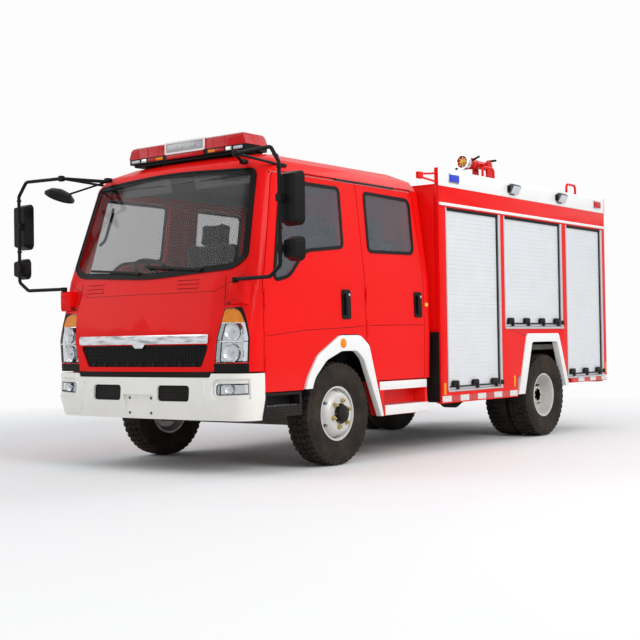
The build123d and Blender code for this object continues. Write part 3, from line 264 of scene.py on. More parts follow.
class Recipe:
    """A material with Object coordinates, a grain noise and a Principled shader ready to use."""

    def __init__(self, name, colour, rough=(0.3, 0.45), metal=0.0, grain=12.0, spread=0.12, bump=0.02,
                 fine=400.0):
        self.finish = bpy.data.materials.new(name)
        self.finish.use_nodes = True
        self.tree = self.finish.node_tree
        self.shader = self.tree.nodes["Principled BSDF"]
        self.shader.inputs["Metallic"].default_value = metal
        self.coords = self.tree.nodes.new("ShaderNodeTexCoord").outputs["Object"]
        self.noise = self.texture("ShaderNodeTexNoise", Scale=grain, Detail=5.0, Roughness=0.6)
        self.colour = self.ramp(self.noise, (0.3, shaded(colour, 1 - spread)),
                                (0.7, shaded(colour, 1 + spread * 0.5)))
        self.link(self.colour, "Base Color")
        self.link(self.spread(self.noise, 0.3, 0.7, *rough), "Roughness")
        self.height = None
        if bump > 0:
            self.add_bump(self.texture("ShaderNodeTexNoise", Scale=fine, Detail=2.0), bump, 0.002)

    def texture(self, kind, coords=None, **values):
        node = self.tree.nodes.new(kind)
        self.tree.links.new(coords or self.coords, node.inputs["Vector"])
        for name, value in values.items():
            node.inputs[name].default_value = value
        return node.outputs[0]

    def waves(self, direction, scale, distortion=0.0):
        node = self.tree.nodes.new("ShaderNodeTexWave")
        node.bands_direction = direction
        node.inputs["Scale"].default_value = scale
        node.inputs["Distortion"].default_value = distortion
        self.tree.links.new(self.coords, node.inputs["Vector"])
        return node.outputs["Fac"]

    def stretched(self, x, y, z, turn=(0, 0, 0)):
        node = self.tree.nodes.new("ShaderNodeMapping")
        node.inputs["Scale"].default_value = (x, y, z)
        node.inputs["Rotation"].default_value = turn
        self.tree.links.new(self.coords, node.inputs["Vector"])
        return node.outputs["Vector"]

    def ramp(self, source, first, second):
        node = self.tree.nodes.new("ShaderNodeValToRGB")
        for stop, (place, colour) in zip(node.color_ramp.elements, (first, second)):
            stop.position = place
            stop.color = colour
        self.tree.links.new(source, node.inputs["Fac"])
        return node.outputs["Color"]

    def spread(self, source, low, high, to_low, to_high):
        node = self.tree.nodes.new("ShaderNodeMapRange")
        for name, value in (("From Min", low), ("From Max", high), ("To Min", to_low), ("To Max", to_high)):
            node.inputs[name].default_value = value
        self.tree.links.new(source, node.inputs["Value"])
        return node.outputs["Result"]

    def maths(self, kind, a, b):
        node = self.tree.nodes.new("ShaderNodeMath")
        node.operation = kind
        for socket, value in zip(node.inputs, (a, b)):
            if isinstance(value, (int, float)):
                socket.default_value = value
            else:
                self.tree.links.new(value, socket)
        return node.outputs["Value"]

    def axis(self, name, coords=None):
        node = self.tree.nodes.new("ShaderNodeSeparateXYZ")
        self.tree.links.new(coords or self.coords, node.inputs["Vector"])
        return node.outputs[name]

    def blend(self, share, colour):
        """Paints a colour over the base where share is high."""
        node = self.tree.nodes.new("ShaderNodeMix")
        node.data_type = "RGBA"
        self.tree.links.new(share, node.inputs["Factor"])
        self.tree.links.new(self.colour, node.inputs["A"])
        node.inputs["B"].default_value = colour
        self.colour = node.outputs["Result"]
        self.link(self.colour, "Base Color")

    def add_bump(self, height, strength, distance):
        node = self.tree.nodes.new("ShaderNodeBump")
        node.inputs["Strength"].default_value = strength
        node.inputs["Distance"].default_value = distance
        self.tree.links.new(height, node.inputs["Height"])
        if self.height is not None:
            self.tree.links.new(self.height, node.inputs["Normal"])
        self.height = node.outputs["Normal"]
        self.link(self.height, "Normal")

    def dust(self, low, high, most, colour):
        """Road dust that thins out from the low to the high level."""
        level = self.spread(self.axis("Z"), low, high, most, 0.0)
        patches = self.texture("ShaderNodeTexNoise", Scale=5.0, Detail=6.0, Roughness=0.7)
        self.blend(self.maths("MULTIPLY", level, self.spread(patches, 0.35, 0.65, 0.3, 1.0)), colour)

    def link(self, output, socket):
        self.tree.links.new(output, self.shader.inputs[socket])

    def set(self, **values):
        for name, value in values.items():
            self.shader.inputs[name.replace("_", " ")].default_value = value


# %% Paints
ROAD_DUST = srgb(150, 132, 112)


def gloss_paint(name, colour, spread=0.05, lacquer=0.28, shine=0.22):
    """Two-coat vehicle paint with clear lacquer, a little orange peel and dust low down."""
    made = Recipe(name, colour, rough=(0.30, 0.40), grain=1.6, spread=spread, bump=0.008, fine=260.0)
    made.set(Coat_Weight=lacquer, Coat_Roughness=0.05, Specular_IOR_Level=shine)
    made.dust(0.35, 0.80, 0.10, ROAD_DUST)
    return made.finish


RED_PAINT = gloss_paint("red_paint", srgb(236, 16, 14), 0.03, 0.12, 0.06)
WHITE_PAINT = gloss_paint("white_paint", srgb(240, 240, 237), 0.02)
BUMPER_PAINT = gloss_paint("bumper_paint", srgb(240, 238, 231), 0.025)
MONITOR_PAINT = gloss_paint("monitor_paint", srgb(220, 16, 16), 0.06, 0.15, 0.08)
# Red paint darkened to stand for shade: painted shade for the lines along creases, under the louvres and over
# the lamps.
PAINTED_SHADE_RED = gloss_paint("painted_shade_red_paint", srgb(128, 8, 8), 0.05, 0.1, 0.06)


def frame_paint():
    """Satin black chassis paint under a film of road dust."""
    made = Recipe("frame_paint", srgb(38, 37, 36), rough=(0.5, 0.75), grain=7.0, spread=0.35, bump=0.06,
                  fine=160.0)
    made.dust(0.2, 1.1, 0.45, ROAD_DUST)
    return made.finish


def wheel_paint():
    made = Recipe("wheel_paint", srgb(208, 207, 203), rough=(0.35, 0.55), metal=0.15, grain=18.0,
                  spread=0.10, bump=0.03, fine=300.0)
    made.blend(made.spread(made.texture("ShaderNodeTexNoise", Scale=9.0, Detail=7.0), 0.5, 0.75, 0.0, 0.32),
               srgb(128, 112, 94))
    return made.finish


FRAME_PAINT = frame_paint()
WHEEL_PAINT = wheel_paint()
print("paints ready")

# %% Plastics, rubber and metals
def black_plastic(name, colour, grain_depth=0.12):
    made = Recipe(name, colour, rough=(0.38, 0.55), grain=20.0, spread=0.25, bump=grain_depth, fine=900.0)
    made.set(Specular_IOR_Level=0.12)
    made.dust(0.3, 0.8, 0.07, ROAD_DUST)
    return made.finish


def tyre_rubber():
    made = Recipe("tyre_rubber", srgb(33, 30, 28), rough=(0.72, 0.9), grain=14.0, spread=0.3, bump=0.15,
                  fine=500.0)
    made.set(Specular_IOR_Level=0.2)
    dirt = made.texture("ShaderNodeTexNoise", Scale=6.0, Detail=8.0, Roughness=0.7)
    made.blend(made.spread(dirt, 0.42, 0.7, 0.02, 0.32), srgb(96, 78, 62))
    return made.finish


def brushed_alloy(name, colour, along, metal=0.75):
    """Rolled aluminium: the noise is stretched along the rolling direction."""
    made = Recipe(name, colour, rough=(0.32, 0.5), metal=metal, grain=6.0, spread=0.04, bump=0.0)
    stretch = [260.0, 260.0, 260.0]
    stretch["xyz".index(along)] = 3.0
    brushed = made.texture("ShaderNodeTexNoise", made.stretched(*stretch), Scale=1.0, Detail=3.0)
    made.add_bump(brushed, 0.06, 0.001)
    return made.finish


def chrome():
    """Plated trim, with long dark streaks of painted reflection."""
    made = Recipe("chrome", srgb(214, 216, 220), rough=(0.05, 0.14), metal=1.0, grain=30.0, spread=0.05,
                  bump=0.01, fine=120.0)
    painted_reflections = made.texture("ShaderNodeTexNoise", made.stretched(5.0, 5.0, 34.0), Scale=1.0, Detail=4.0)
    # Painted reflection: the long streaks are blended towards dark grey, standing in for dark surroundings
    # seen in the plating.
    made.blend(made.spread(painted_reflections, 0.46, 0.64, 0.0, 0.62), srgb(84, 84, 86))
    return made.finish


def zinc_nut(name, colour):
    made = Recipe(name, colour, rough=(0.3, 0.5), metal=0.9, grain=90.0, spread=0.25,
                  bump=0.08, fine=700.0)
    return made.finish


BLACK = black_plastic("black_plastic", srgb(17, 17, 18))
SEAL_RUBBER = black_plastic("seal_rubber", srgb(11, 11, 12), 0.05)
TRIM_GREY = black_plastic("trim_grey", srgb(92, 94, 97))
TYRE_RUBBER = tyre_rubber()
SLAT_ALLOY = brushed_alloy("shutter_alloy", srgb(220, 222, 224), "y", 0.1)
CROSS_ALLOY = brushed_alloy("cross_alloy", srgb(210, 212, 216), "x", 0.35)
POST_ALLOY = brushed_alloy("post_alloy", srgb(196, 198, 201), "z")
CHROME = chrome()
ZINC = zinc_nut("yellow_zinc", srgb(204, 188, 136))
BRASS = zinc_nut("brass", srgb(214, 168, 72))
print("plastics, rubber and metals ready")

# %% Glass, lenses and tape
def tinted_glass(name, colour, clear):
    made = Recipe(name, colour, rough=(0.02, 0.05), grain=1.5, spread=0.1, bump=0.0)
    made.set(Alpha=clear, Specular_IOR_Level=0.55, IOR=1.5)
    return made.finish


def ribbed_lens(name, colour, along, count=70.0):
    """Moulded lens: fine prisms in one direction, with painted shade that deepens the colour between them."""
    made = Recipe(name, colour, rough=(0.08, 0.2), grain=40.0, spread=0.2, bump=0.0)
    ribs = made.waves(along, count)
    # Painted shade: between the prisms the colour is blended towards a darker copy of itself.
    made.blend(made.spread(ribs, 0.0, 1.0, 0.0, 0.25), shaded(colour, 0.55))
    made.add_bump(ribs, 0.35, 0.003)
    made.set(Coat_Weight=0.12, Coat_Roughness=0.03, Specular_IOR_Level=0.12)
    return made.finish


def reflector(name, colour):
    made = Recipe(name, colour, rough=(0.04, 0.12), metal=1.0, grain=60.0, spread=0.06, bump=0.0)
    return made.finish


def speaker_panel():
    """Clear panel with rows of small holes, seen against a grey horn."""
    made = Recipe("speaker_panel", srgb(176, 178, 180), rough=(0.15, 0.3), grain=25.0, spread=0.2, bump=0.0)
    holes = made.texture("ShaderNodeTexVoronoi", Scale=95.0)
    made.blend(made.spread(holes, 0.25, 0.4, 0.75, 0.0), srgb(70, 72, 76))
    made.add_bump(holes, 0.3, 0.002)
    made.set(Coat_Weight=0.7, Coat_Roughness=0.05)
    return made.finish


def tape(name, colour):
    """Retroreflective tape: a honeycomb of small cells under a glossy top layer."""
    made = Recipe(name, colour, rough=(0.2, 0.32), grain=30.0, spread=0.08, bump=0.0)
    cells = made.texture("ShaderNodeTexVoronoi", Scale=160.0)
    made.blend(made.spread(cells, 0.0, 0.6, 0.28, 0.0), shaded(colour, 0.6))
    made.add_bump(cells, 0.08, 0.001)
    made.dust(0.35, 0.8, 0.25, ROAD_DUST)
    return made.finish


WINDOW = tinted_glass("window_glass", srgb(112, 118, 124), 0.30)
SCREEN = tinted_glass("screen_glass", srgb(26, 34, 36), 0.24)
COVER = tinted_glass("lamp_cover", srgb(120, 125, 128), 0.04)
RED_LENS = ribbed_lens("red_lens", srgb(206, 8, 20), "Y")
AMBER_LENS = ribbed_lens("amber_lens", srgb(255, 150, 2), "Z")
CLEAR_LENS = ribbed_lens("clear_lens", srgb(215, 220, 224), "X", 90.0)
BLUE_LENS = ribbed_lens("blue_lens", srgb(40, 70, 215), "Y")
REFLECTOR = reflector("lamp_reflector", srgb(222, 225, 228))
HOUSING = reflector("lamp_housing", srgb(196, 199, 204))
SPEAKER = speaker_panel()
RED_TAPE = tape("red_tape", srgb(205, 24, 26))
WHITE_TAPE = tape("white_tape", srgb(226, 228, 226))
YELLOW_TAPE = tape("yellow_tape", srgb(236, 214, 70))
print("glass, lenses and tape ready")

# %% Floor plates and cabin finishes
def chequer_plate():
    """Rolled tread plate: two sets of short bars that cross, made from stretched wave products."""
    made = Recipe("chequer_plate", srgb(188, 190, 193), rough=(0.3, 0.5), metal=0.8, grain=9.0, spread=0.15,
                  bump=0.0)
    crossed = None
    for turn in (math.pi / 4, -math.pi / 4):
        coords = made.stretched(1.0, 1.0, 1.0, (0.0, 0.0, turn))
        across = made.maths("SINE", made.maths("MULTIPLY", made.axis("X", coords), 210.0), 0.0)
        along = made.maths("SINE", made.maths("MULTIPLY", made.axis("Y", coords), 105.0), 0.0)
        bars = made.maths("MULTIPLY", made.spread(across, 0.2, 0.8, 0.0, 1.0),
                          made.spread(along, 0.0, 0.6, 0.0, 1.0))
        crossed = bars if crossed is None else made.maths("MAXIMUM", crossed, bars)
    made.add_bump(crossed, 0.7, 0.004)
    return made.finish


def seat_fabric():
    """Woven seat cover: two crossing thread waves and a slow change of shade."""
    made = Recipe("seat_fabric", srgb(78, 80, 86), rough=(0.8, 0.95), grain=5.0, spread=0.25, bump=0.0)
    weave = made.maths("MULTIPLY", made.waves("X", 130.0, 0.6), made.waves("Z", 130.0, 0.6))
    made.blend(made.spread(weave, 0.2, 0.8, 0.5, 0.0), srgb(40, 41, 45))
    made.add_bump(weave, 0.35, 0.001)
    made.set(Sheen_Weight=0.25)
    return made.finish


CHEQUER = chequer_plate()
SEAT_FABRIC = seat_fabric()
FLOOR_MAT = black_plastic("floor_mat", srgb(48, 48, 50), 0.35)
DASH_PLASTIC = black_plastic("dash_plastic", srgb(66, 67, 70), 0.3)
HEADLINER = black_plastic("headliner", srgb(150, 150, 148), 0.3)
print("floor plates and cabin finishes ready")

# %% [markdown]
# ## Finishes on the CAD nodes
# The solids whose shape is right stay and only get a finish. A CAD mesh is loose triangles, so a Weld
# modifier joins them. On flat panels a small Bevel gives the rolled edge that catches the light. Faces are
# shaded smooth, and an Edge Split keeps the creases. The stored points stay where they are.

# %% Dress the nodes
NODE_FINISH = {
    RED_PAINT: ("cab_front", "cab_sides", "cab_roof", "cab_rear_wall", "door_front_left", "door_front_right",
                "door_rear_left", "door_rear_right", "body_sides", "body_front_wall", "body_rear_wall",
                "roof_handles", "side_steps"),
    WHITE_PAINT: ("parapet", "arch_trims"),
    BUMPER_PAINT: ("bumper",),
    MONITOR_PAINT: ("monitor_base", "monitor_yoke", "monitor_barrel"),
    FRAME_PAINT: ("frame_rails", "cross_members", "front_axle", "rear_axle", "knuckle_left", "knuckle_right",
                  "engine", "body_floor", "lockers", "rear_step"),
    WHEEL_PAINT: ("wheel_front_left", "wheel_front_right", "wheels_rear_left", "wheels_rear_right"),
    BLACK: ("grilles", "front_steps", "mirror_arms", "mirror_heads", "wipers", "side_tanks", "steering_wheel",
            "light_bar_base"),
    CHROME: ("chrome_bar",),
    SLAT_ALLOY: ("shutters",),
    POST_ALLOY: ("rear_ladder",),
    CHEQUER: ("body_roof",),
    WINDOW: ("door_glass_front_left", "door_glass_front_right", "door_glass_rear_left",
             "door_glass_rear_right"),
    SCREEN: ("windscreen",),
    RED_LENS: ("light_bar_lenses", "body_lamps", "front_lamps"),
    TYRE_RUBBER: ("tyre_front_left", "tyre_front_right", "tyres_rear_left", "tyres_rear_right"),
    FLOOR_MAT: ("cab_floor",),
    DASH_PLASTIC: ("dashboard",),
    SEAT_FABRIC: ("seats",),
}
ROLLED_EDGE = 0.004
FLAT_NODES = ("body_sides", "parapet", "body_front_wall", "body_rear_wall", "front_steps", "side_steps",
              "rear_step", "side_tanks", "arch_trims", "light_bar_base", "light_bar_lenses")


def dress(node, finish):
    mesh = NODES[node].data
    mesh.materials.clear()
    mesh.materials.append(finish)
    mesh.shade_smooth()
    weld = NODES[node].modifiers.new("weld", "WELD")
    weld.merge_threshold = 0.00002
    if node in FLAT_NODES:
        rolled = NODES[node].modifiers.new("rolled_edge", "BEVEL")
        rolled.width = ROLLED_EDGE
        rolled.segments = 2
        rolled.limit_method = "ANGLE"
        rolled.angle_limit = math.radians(50)
    split = NODES[node].modifiers.new("crease", "EDGE_SPLIT")
    split.split_angle = math.radians(32)


dressed = set()
for finish, names in NODE_FINISH.items():
    for node in names:
        dress(node, finish)
        dressed.add(node)
print("dressed", len(dressed), "of", len(NODES), "left", sorted(set(NODES) - dressed))

# %% [markdown]
# ## Laying fittings on curved panels
# The cab is curved in two directions, so a straight strip would float at its ends. A fitting for it is drawn
# flat, cut into short pieces and dropped on the panel, point by point, along the direction it is seen from.
# For glass it is easier to start from the glass itself: its outer faces are copied and a border is inset.

# %% Skins, strips and seams
TREES = {}
FAR = 6.0
SUNK = -0.0004
LINE_PROUD = 0.0009


def tree_of(node):
    """Search tree over the triangles of a node, made once."""
    if node not in TREES:
        mesh = NODES[node].data
        places = [v.co for v in mesh.vertices]
        TREES[node] = BVHTree.FromPolygons(places, [tuple(p.vertices) for p in mesh.polygons])
    return TREES[node]


def front_touch(node, x, z):
    """First point of a node that is met from ahead."""
    return tree_of(node).ray_cast(Vector((x, -FAR, z)), BACK)[0]


def drape(part, nodes, away):
    """Lays a flat part on the outermost of some nodes; its depth along `away` is counted from their skin."""
    for vert in part.verts:
        depth = vert.co.dot(away)
        start = vert.co + away * (FAR - depth)
        hits = [tree_of(node).ray_cast(start, -away) for node in nodes]
        hits = [(far, spot) for spot, _normal, _face, far in hits if spot is not None]
        if hits:
            vert.co = min(hits)[1] + away * depth


def skin(node, away, least=0.5, keep=None):
    """Copy of the faces of a node that look along `away`, and whose middle passes the test keep."""
    part = bmesh.new()
    part.from_mesh(NODES[node].data)
    bmesh.ops.remove_doubles(part, verts=part.verts, dist=2e-5)
    part.normal_update()
    hidden = [f for f in part.faces if f.normal.dot(away) < least
              or (keep is not None and not keep(f.calc_center_median()))]
    bmesh.ops.delete(part, geom=hidden, context="FACES")
    return part


def shift(part, by):
    bmesh.ops.translate(part, verts=part.verts, vec=Vector(by))


def on_front(depth):
    return place_y(-depth)


def on_side(way, depth):
    return place_x(way * depth)


def plate(bm, nodes, away, corners, place, proud, paint=0, round_by=0.0, step=0.06):
    """Plate with (a, b) corners that follows the nodes' skin and stands proud of it."""
    part = flat(corners, place, round_by)
    for axis in (OUTWARD, BACK, UP):
        reach = [v.co.dot(axis) for v in part.verts]
        if max(reach) - min(reach) > step:
            slice_along(part, axis, min(reach), max(reach), step)
    thicken(part, away * proud)
    drape(part, nodes, away)
    join(bm, part, paint)


def seam(bm, nodes, away, points, place, width, proud, paint=0):
    """Narrow band along a row of (a, b) points, laid on the nodes' skin."""
    for (a0, b0), (a1, b1) in zip(points, points[1:]):
        along = Vector((a1 - a0, b1 - b0))
        side = Vector((-along.y, along.x)).normalized() * width / 2
        ends = along.normalized() * width * 0.2
        start = Vector((a0, b0)) - ends
        end = Vector((a1, b1)) + ends
        plate(bm, nodes, away, (start - side, end - side, end + side, start + side), place, proud, paint)


# %% [markdown]
# ## Tyres
# A light truck tyre has a bulging sidewall with a few raised rings, and a tread of blocks. The carcass is one
# profile spun about the axle. One pitch of the tread is modelled as four blocks, and Spin copies it round,
# which is how the mould segments of a real tyre press are laid out too.

# %% Tyre carcass and tread
TYRE_HALF = [
    (0.0757, 0.2068), (0.0860, 0.2120), (0.0905, 0.2240), (0.0925, 0.2360), (0.0965, 0.2480),
    (0.1020, 0.2760), (0.1050, 0.3020), (0.1052, 0.3060), (0.1063, 0.3070), (0.1063, 0.3110),
    (0.1054, 0.3120), (0.1058, 0.3300), (0.1049, 0.3450), (0.1060, 0.3460), (0.1058, 0.3500),
    (0.1040, 0.3520), (0.1022, 0.3640), (0.1036, 0.3660), (0.1020, 0.3760), (0.0975, 0.3860),
    (0.0900, 0.3890), (0.0400, 0.3905),
]
PITCHES = 46
LUGS = [
    dict(a=(0.053, 0.0985), turn=(0.00, 0.62), foot=0.385, top=(0.4015, 0.3955), skew=0.10),
    dict(a=(0.006, 0.046), turn=(0.18, 0.84), foot=0.388, top=(0.4025, 0.4020), skew=0.22),
]


def lug(part, row, side, hub):
    """One tread block: four corners at its foot and four at its top, on a cylinder about the axle."""
    pitch = math.tau / PITCHES
    rings = []
    for heights in ((row["foot"], row["foot"]), row["top"]):
        ring = []
        for a, height, lean in ((row["a"][0], heights[0], 0.0), (row["a"][1], heights[1], row["skew"])):
            for t in row["turn"]:
                angle = (t + lean) * pitch
                ring.append(part.verts.new(hub + Vector((side * a, height * math.cos(angle),
                                                         height * math.sin(angle)))))
        rings.append([ring[0], ring[1], ring[3], ring[2]])
    part.faces.new(rings[1])
    part.faces.new(rings[0])
    for k in range(4):
        part.faces.new((rings[0][k], rings[0][k - 1], rings[1][k - 1], rings[1][k]))


def tyre(bm, hub):
    closed = TYRE_HALF + [(-a, r) for a, r in reversed(TYRE_HALF)] + TYRE_HALF[:1]
    turned(bm, closed, hub, OUTWARD, steps=72)
    part = bmesh.new()
    for row in LUGS:
        for side in (-1, 1):
            lug(part, row, side, hub)
    bmesh.ops.recalc_face_normals(part, faces=part.faces)
    pattern = list(part.verts) + list(part.edges) + list(part.faces)
    bmesh.ops.spin(part, geom=pattern, cent=hub, axis=OUTWARD, angle=math.tau * (PITCHES - 1) / PITCHES,
                   steps=PITCHES - 1, use_duplicate=True)
    join(bm, part)


TWIN = 0.125
for side, way in SIDES:
    bm = bmesh.new()
    tyre(bm, Vector((way * FRONT_HUB.x, AXLE_F, TYRE_RADIUS)))
    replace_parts(finish_piece("treaded_tyre_front_" + side, bm, [TYRE_RUBBER], "front_wheel_" + side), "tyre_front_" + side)
    bm = bmesh.new()
    for twin in (-TWIN, TWIN):
        tyre(bm, Vector((way * REAR_HUB.x + twin, AXLE_R, TYRE_RADIUS)))
    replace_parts(finish_piece("treaded_tyres_rear_" + side, bm, [TYRE_RUBBER], "rear_wheel_" + side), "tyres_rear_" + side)

# %% [markdown]
# ## Wheel hubs
# Six plated nuts hold each disc. The front hub ends in a black grease cap; the rear hub is a flange with the
# ends of its half-shaft bolts, deep inside the dish of the outer wheel.

# %% Nuts, caps and flanges
NUTS = 6
NUT_RING = 0.104
NUT_TURN = 0.3
NUT_PARTS = [
    dict(rise=0.006, radius=0.0200, sides=20),
    dict(rise=0.024, radius=0.0165, sides=6, edge=0.0015),
    dict(rise=0.036, radius=0.0090, sides=14, tip=0.0075),
]
CAP = [(0.118, 0.0795), (0.124, 0.0790), (0.127, 0.0700), (0.150, 0.0650), (0.157, 0.0560), (0.160, 0.0)]
FLANGE = [(0.128, 0.0815), (0.136, 0.0810), (0.140, 0.0760), (0.140, 0.0)]
HUBS = [
    dict(place="front", hub=FRONT_HUB, face=0.115, profile=CAP, finish=BLACK,
         bolts=dict(count=6, ring=0.0735, radius=0.0055, low=0.120, high=0.130)),
    dict(place="rear", hub=REAR_HUB, face=0.010, profile=FLANGE, finish=WHEEL_PAINT,
         bolts=dict(count=8, ring=0.062, radius=0.0085, low=0.140, high=0.149)),
]


def around(count, radius, start=0.0):
    """Places on a circle about the axle."""
    for k in range(count):
        angle = start + math.tau * k / count
        yield Vector((0, radius * math.cos(angle), radius * math.sin(angle)))


def wheel_nuts(bm, face, out):
    """Washer, nut and stud end at each hole of the disc."""
    for spot in around(NUTS, NUT_RING, NUT_TURN):
        root = face + spot
        for row in NUT_PARTS:
            rod(bm, root, root + out * row["rise"], row["radius"], row["sides"], 0, row.get("tip"),
                row.get("edge", 0.0))


for side, way in SIDES:
    out = OUTWARD * way
    for row in HUBS:
        hub = Vector((way * row["hub"].x, row["hub"].y, TYRE_RADIUS))
        bolts = row["bolts"]
        bm = bmesh.new()
        wheel_nuts(bm, hub + out * row["face"], out)
        turned(bm, row["profile"], hub, out, 40, 1)
        for spot in around(bolts["count"], bolts["ring"]):
            rod(bm, hub + out * bolts["low"] + spot, hub + out * bolts["high"] + spot, bolts["radius"], 6)
        finish_piece("hub_" + row["place"] + "_" + side, bm, [ZINC, row["finish"]],
                     row["place"] + "_wheel_" + side)

# %% [markdown]
# ## Rubber round the glass
# Every pane is held by a black rubber section. It is a border inset from the pane's own outer faces, so it
# follows the double curve of the screen and the lean of the doors exactly.

# %% Seals
SEAL_LIFT = 0.0006
SCREEN_SEALS = [dict(width=0.048, proud=0.004), dict(width=0.016, proud=0.009)]
WINDOW_SEAL = dict(width=0.026, proud=0.005)


def seal(bm, node, away, width, proud):
    part = skin(node, away)
    frame_of(part, width)
    shift(part, away * SEAL_LIFT)
    thicken(part, away * proud)
    join(bm, part)


bm = bmesh.new()
for row in SCREEN_SEALS:
    seal(bm, "windscreen", AHEAD, **row)
finish_piece("screen_seal", bm, [SEAL_RUBBER], "chassis")
for side, way in SIDES:
    for place in ("front", "rear"):
        bm = bmesh.new()
        seal(bm, "door_glass_" + place + "_" + side, OUTWARD * way, **WINDOW_SEAL)
        finish_piece("window_seal_" + place + "_" + side, bm, [SEAL_RUBBER], place + "_door_" + side)

# %% [markdown]
# ## Doors
# Each door has a moulded black handle in a shallow surround, a pressed line along the cab and a card inside.
# They ride on the door's body, so they swing with it. Places along the cab are counted from the front axle.

# %% Handles, pressed lines and cards
DOOR_TRIM = dict(
    front=dict(handle=((0.030, 0.146), (1.136, 1.368)), card=((-0.800, 0.265), (1.075, 1.370)),
               line=[(-0.880, 1.020), (-0.440, 1.061), (0.190, 1.084), (0.330, 1.096)]),
    rear=dict(handle=((1.052, 1.166), (1.155, 1.371)), card=((0.435, 1.120), (1.075, 1.370)),
              line=[(0.398, 1.097), (1.180, 1.104)]),
)
CAB_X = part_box("door_front_left")[1].x
CARD_X = (CAB_X - 0.082, CAB_X - 0.060)
ARM_REST_Z = (1.235, 1.280)
PRESSED_FOOT = 0.0105


def door_handle(bm, nodes, way, y, z):
    """Surround laid on the door, with an upright grip and a key barrel."""
    out = OUTWARD * way
    y0, y1 = moved(y, AXLE_F)
    z0, z1 = z
    plate(bm, nodes, out, rectangle(y0, y1, z0, z1), on_side(way, 0.0), 0.007, 0, 0.022)
    outer = max(v.co.dot(out) for v in bm.verts)
    slab(bm, span(outer - 0.004, outer + 0.016, way), (y0 + 0.030, y0 + 0.068), (z0 + 0.030, z1 - 0.030),
         0.008, 3, 1)
    key = Vector((way * outer, y1 - 0.028, z1 - 0.040))
    rod(bm, key, key + out * 0.005, 0.011, 20, 2)


def pressed_line(bm, nodes, way, points):
    """Raised crease in the paint, with a dark line of shade along its foot."""
    line = [(AXLE_F + y, z) for y, z in points]
    foot = [(y, z - PRESSED_FOOT) for y, z in line]
    seam(bm, nodes, OUTWARD * way, line, on_side(way, -0.001), 0.016, 0.004)
    seam(bm, nodes, OUTWARD * way, foot, on_side(way, SUNK), 0.005, LINE_PROUD, 1)


def door_card(bm, way, y, z):
    """Moulded card with an arm rest."""
    y0, y1 = moved(y, AXLE_F)
    slab(bm, span(*CARD_X, way), (y0, y1), z, 0.012, 3, 0)
    slab(bm, span(CARD_X[0] - 0.035, CARD_X[0] + 0.004, way), (y0 + 0.25, y1 - 0.15), ARM_REST_Z, 0.012, 3, 1)


for side, way in SIDES:
    for place, row in DOOR_TRIM.items():
        nodes = ["door_" + place + "_" + side]
        name = "_" + place + "_" + side
        body = place + "_door_" + side
        bm = bmesh.new()
        door_handle(bm, nodes, way, *row["handle"])
        finish_piece("door_handle" + name, bm, [BLACK, SEAL_RUBBER, CHROME], body)
        bm = bmesh.new()
        pressed_line(bm, nodes, way, row["line"])
        finish_piece("pressed_line" + name, bm, [RED_PAINT, PAINTED_SHADE_RED], body)
        bm = bmesh.new()
        door_card(bm, way, *row["card"])
        finish_piece("door_card" + name, bm, [DASH_PLASTIC, BLACK], body)

# %% [markdown]
# ## Front lamps
# A lamp is a thin clear cover, a dark rim, a bright housing and the bowls inside it. The cover is the outer
# skin of the CAD lamp. The same skin, pushed inwards, becomes the housing, so everything fits the opening.

# %% Measures of the lamps
LAMP_FINISHES = [COVER, BLACK, REFLECTOR, AMBER_LENS, CLEAR_LENS, HOUSING]
LAMP_COVER, LAMP_RIM, LAMP_BRIGHT, LAMP_AMBER, LAMP_BULB, LAMP_BACK = range(6)
CORNER = Vector((0.55, -0.83, 0.0)).normalized()
LOOK = Vector((0.16, -0.987, 0.0)).normalized()
COVER_T = 0.003
RIM_T = 0.004
WALL_T = 0.004
SIDE_WALL = 1.6
HAIR = 0.0005
BOWL = [(-0.60, 0.10), (-0.52, 0.40), (-0.30, 0.74), (-0.06, 0.96), (0.0, 1.0), (0.02, 1.03), (-0.06, 1.06),
        (-0.34, 0.82), (-0.60, 0.46), (-0.66, 0.10)]
BULB = [(-0.55, 0.16), (-0.22, 0.16), (-0.14, 0.12), (-0.12, 0.0)]
HEAD = dict(keep=lambda p: p.x > 0 and p.z > 0.76, rim=0.008, depth=0.036)
FOG = dict(keep=lambda p: p.x > 0 and p.z < 0.72, rim=0.008, depth=0.026)
BOWLS = [
    dict(x=0.886, z=1.044, size=0.062, back=0.016),
    dict(x=0.878, z=0.893, size=0.064, back=0.016),
    dict(x=0.868, z=0.632, size=0.034, back=0.012),
]
AMBER_LOW, AMBER_HIGH = 1.112, 1.214
AMBER_SET, AMBER_T = 0.004, 0.006
LAMP_EDGE = 0.112
LAMP_DEPTH = 0.124
LAMP_FOOT = 0.8165
LAMP_INNER = 0.728
STRIP_T = 0.002
HEAD_PARTING = 0.975
PARTING_HALF = 0.004
NOTCH = dict(x=(0.0, 0.722), y=(0.050, 0.095), z=(0.716, 0.7565))


# %% Head and fog lamps
def lamp_skin(lamp):
    return skin("front_lamps", CORNER, 0.3, lamp["keep"])


def lamp_shell(bm, lamp):
    """Cover, rim, bright walls and back of one lamp from the outer skin of the CAD node."""
    cover = lamp_skin(lamp)
    thicken(cover, -CORNER * COVER_T)
    join(bm, cover, LAMP_COVER)
    walls = [
        (lamp["rim"], BACK * RIM_T, LAMP_RIM),
        (WALL_T, BACK * lamp["depth"], LAMP_BRIGHT),
        (WALL_T, -OUTWARD * lamp["depth"] * SIDE_WALL, LAMP_BRIGHT),
    ]
    for width, depth, paint in walls:
        rim = lamp_skin(lamp)
        frame_of(rim, width)
        shift(rim, -CORNER * (COVER_T + HAIR))
        thicken(rim, depth)
        join(bm, rim, paint)
    back = lamp_skin(lamp)
    shift(back, -CORNER * (lamp["depth"] + COVER_T))
    thicken(back, -CORNER * COVER_T)
    join(bm, back, LAMP_BACK)


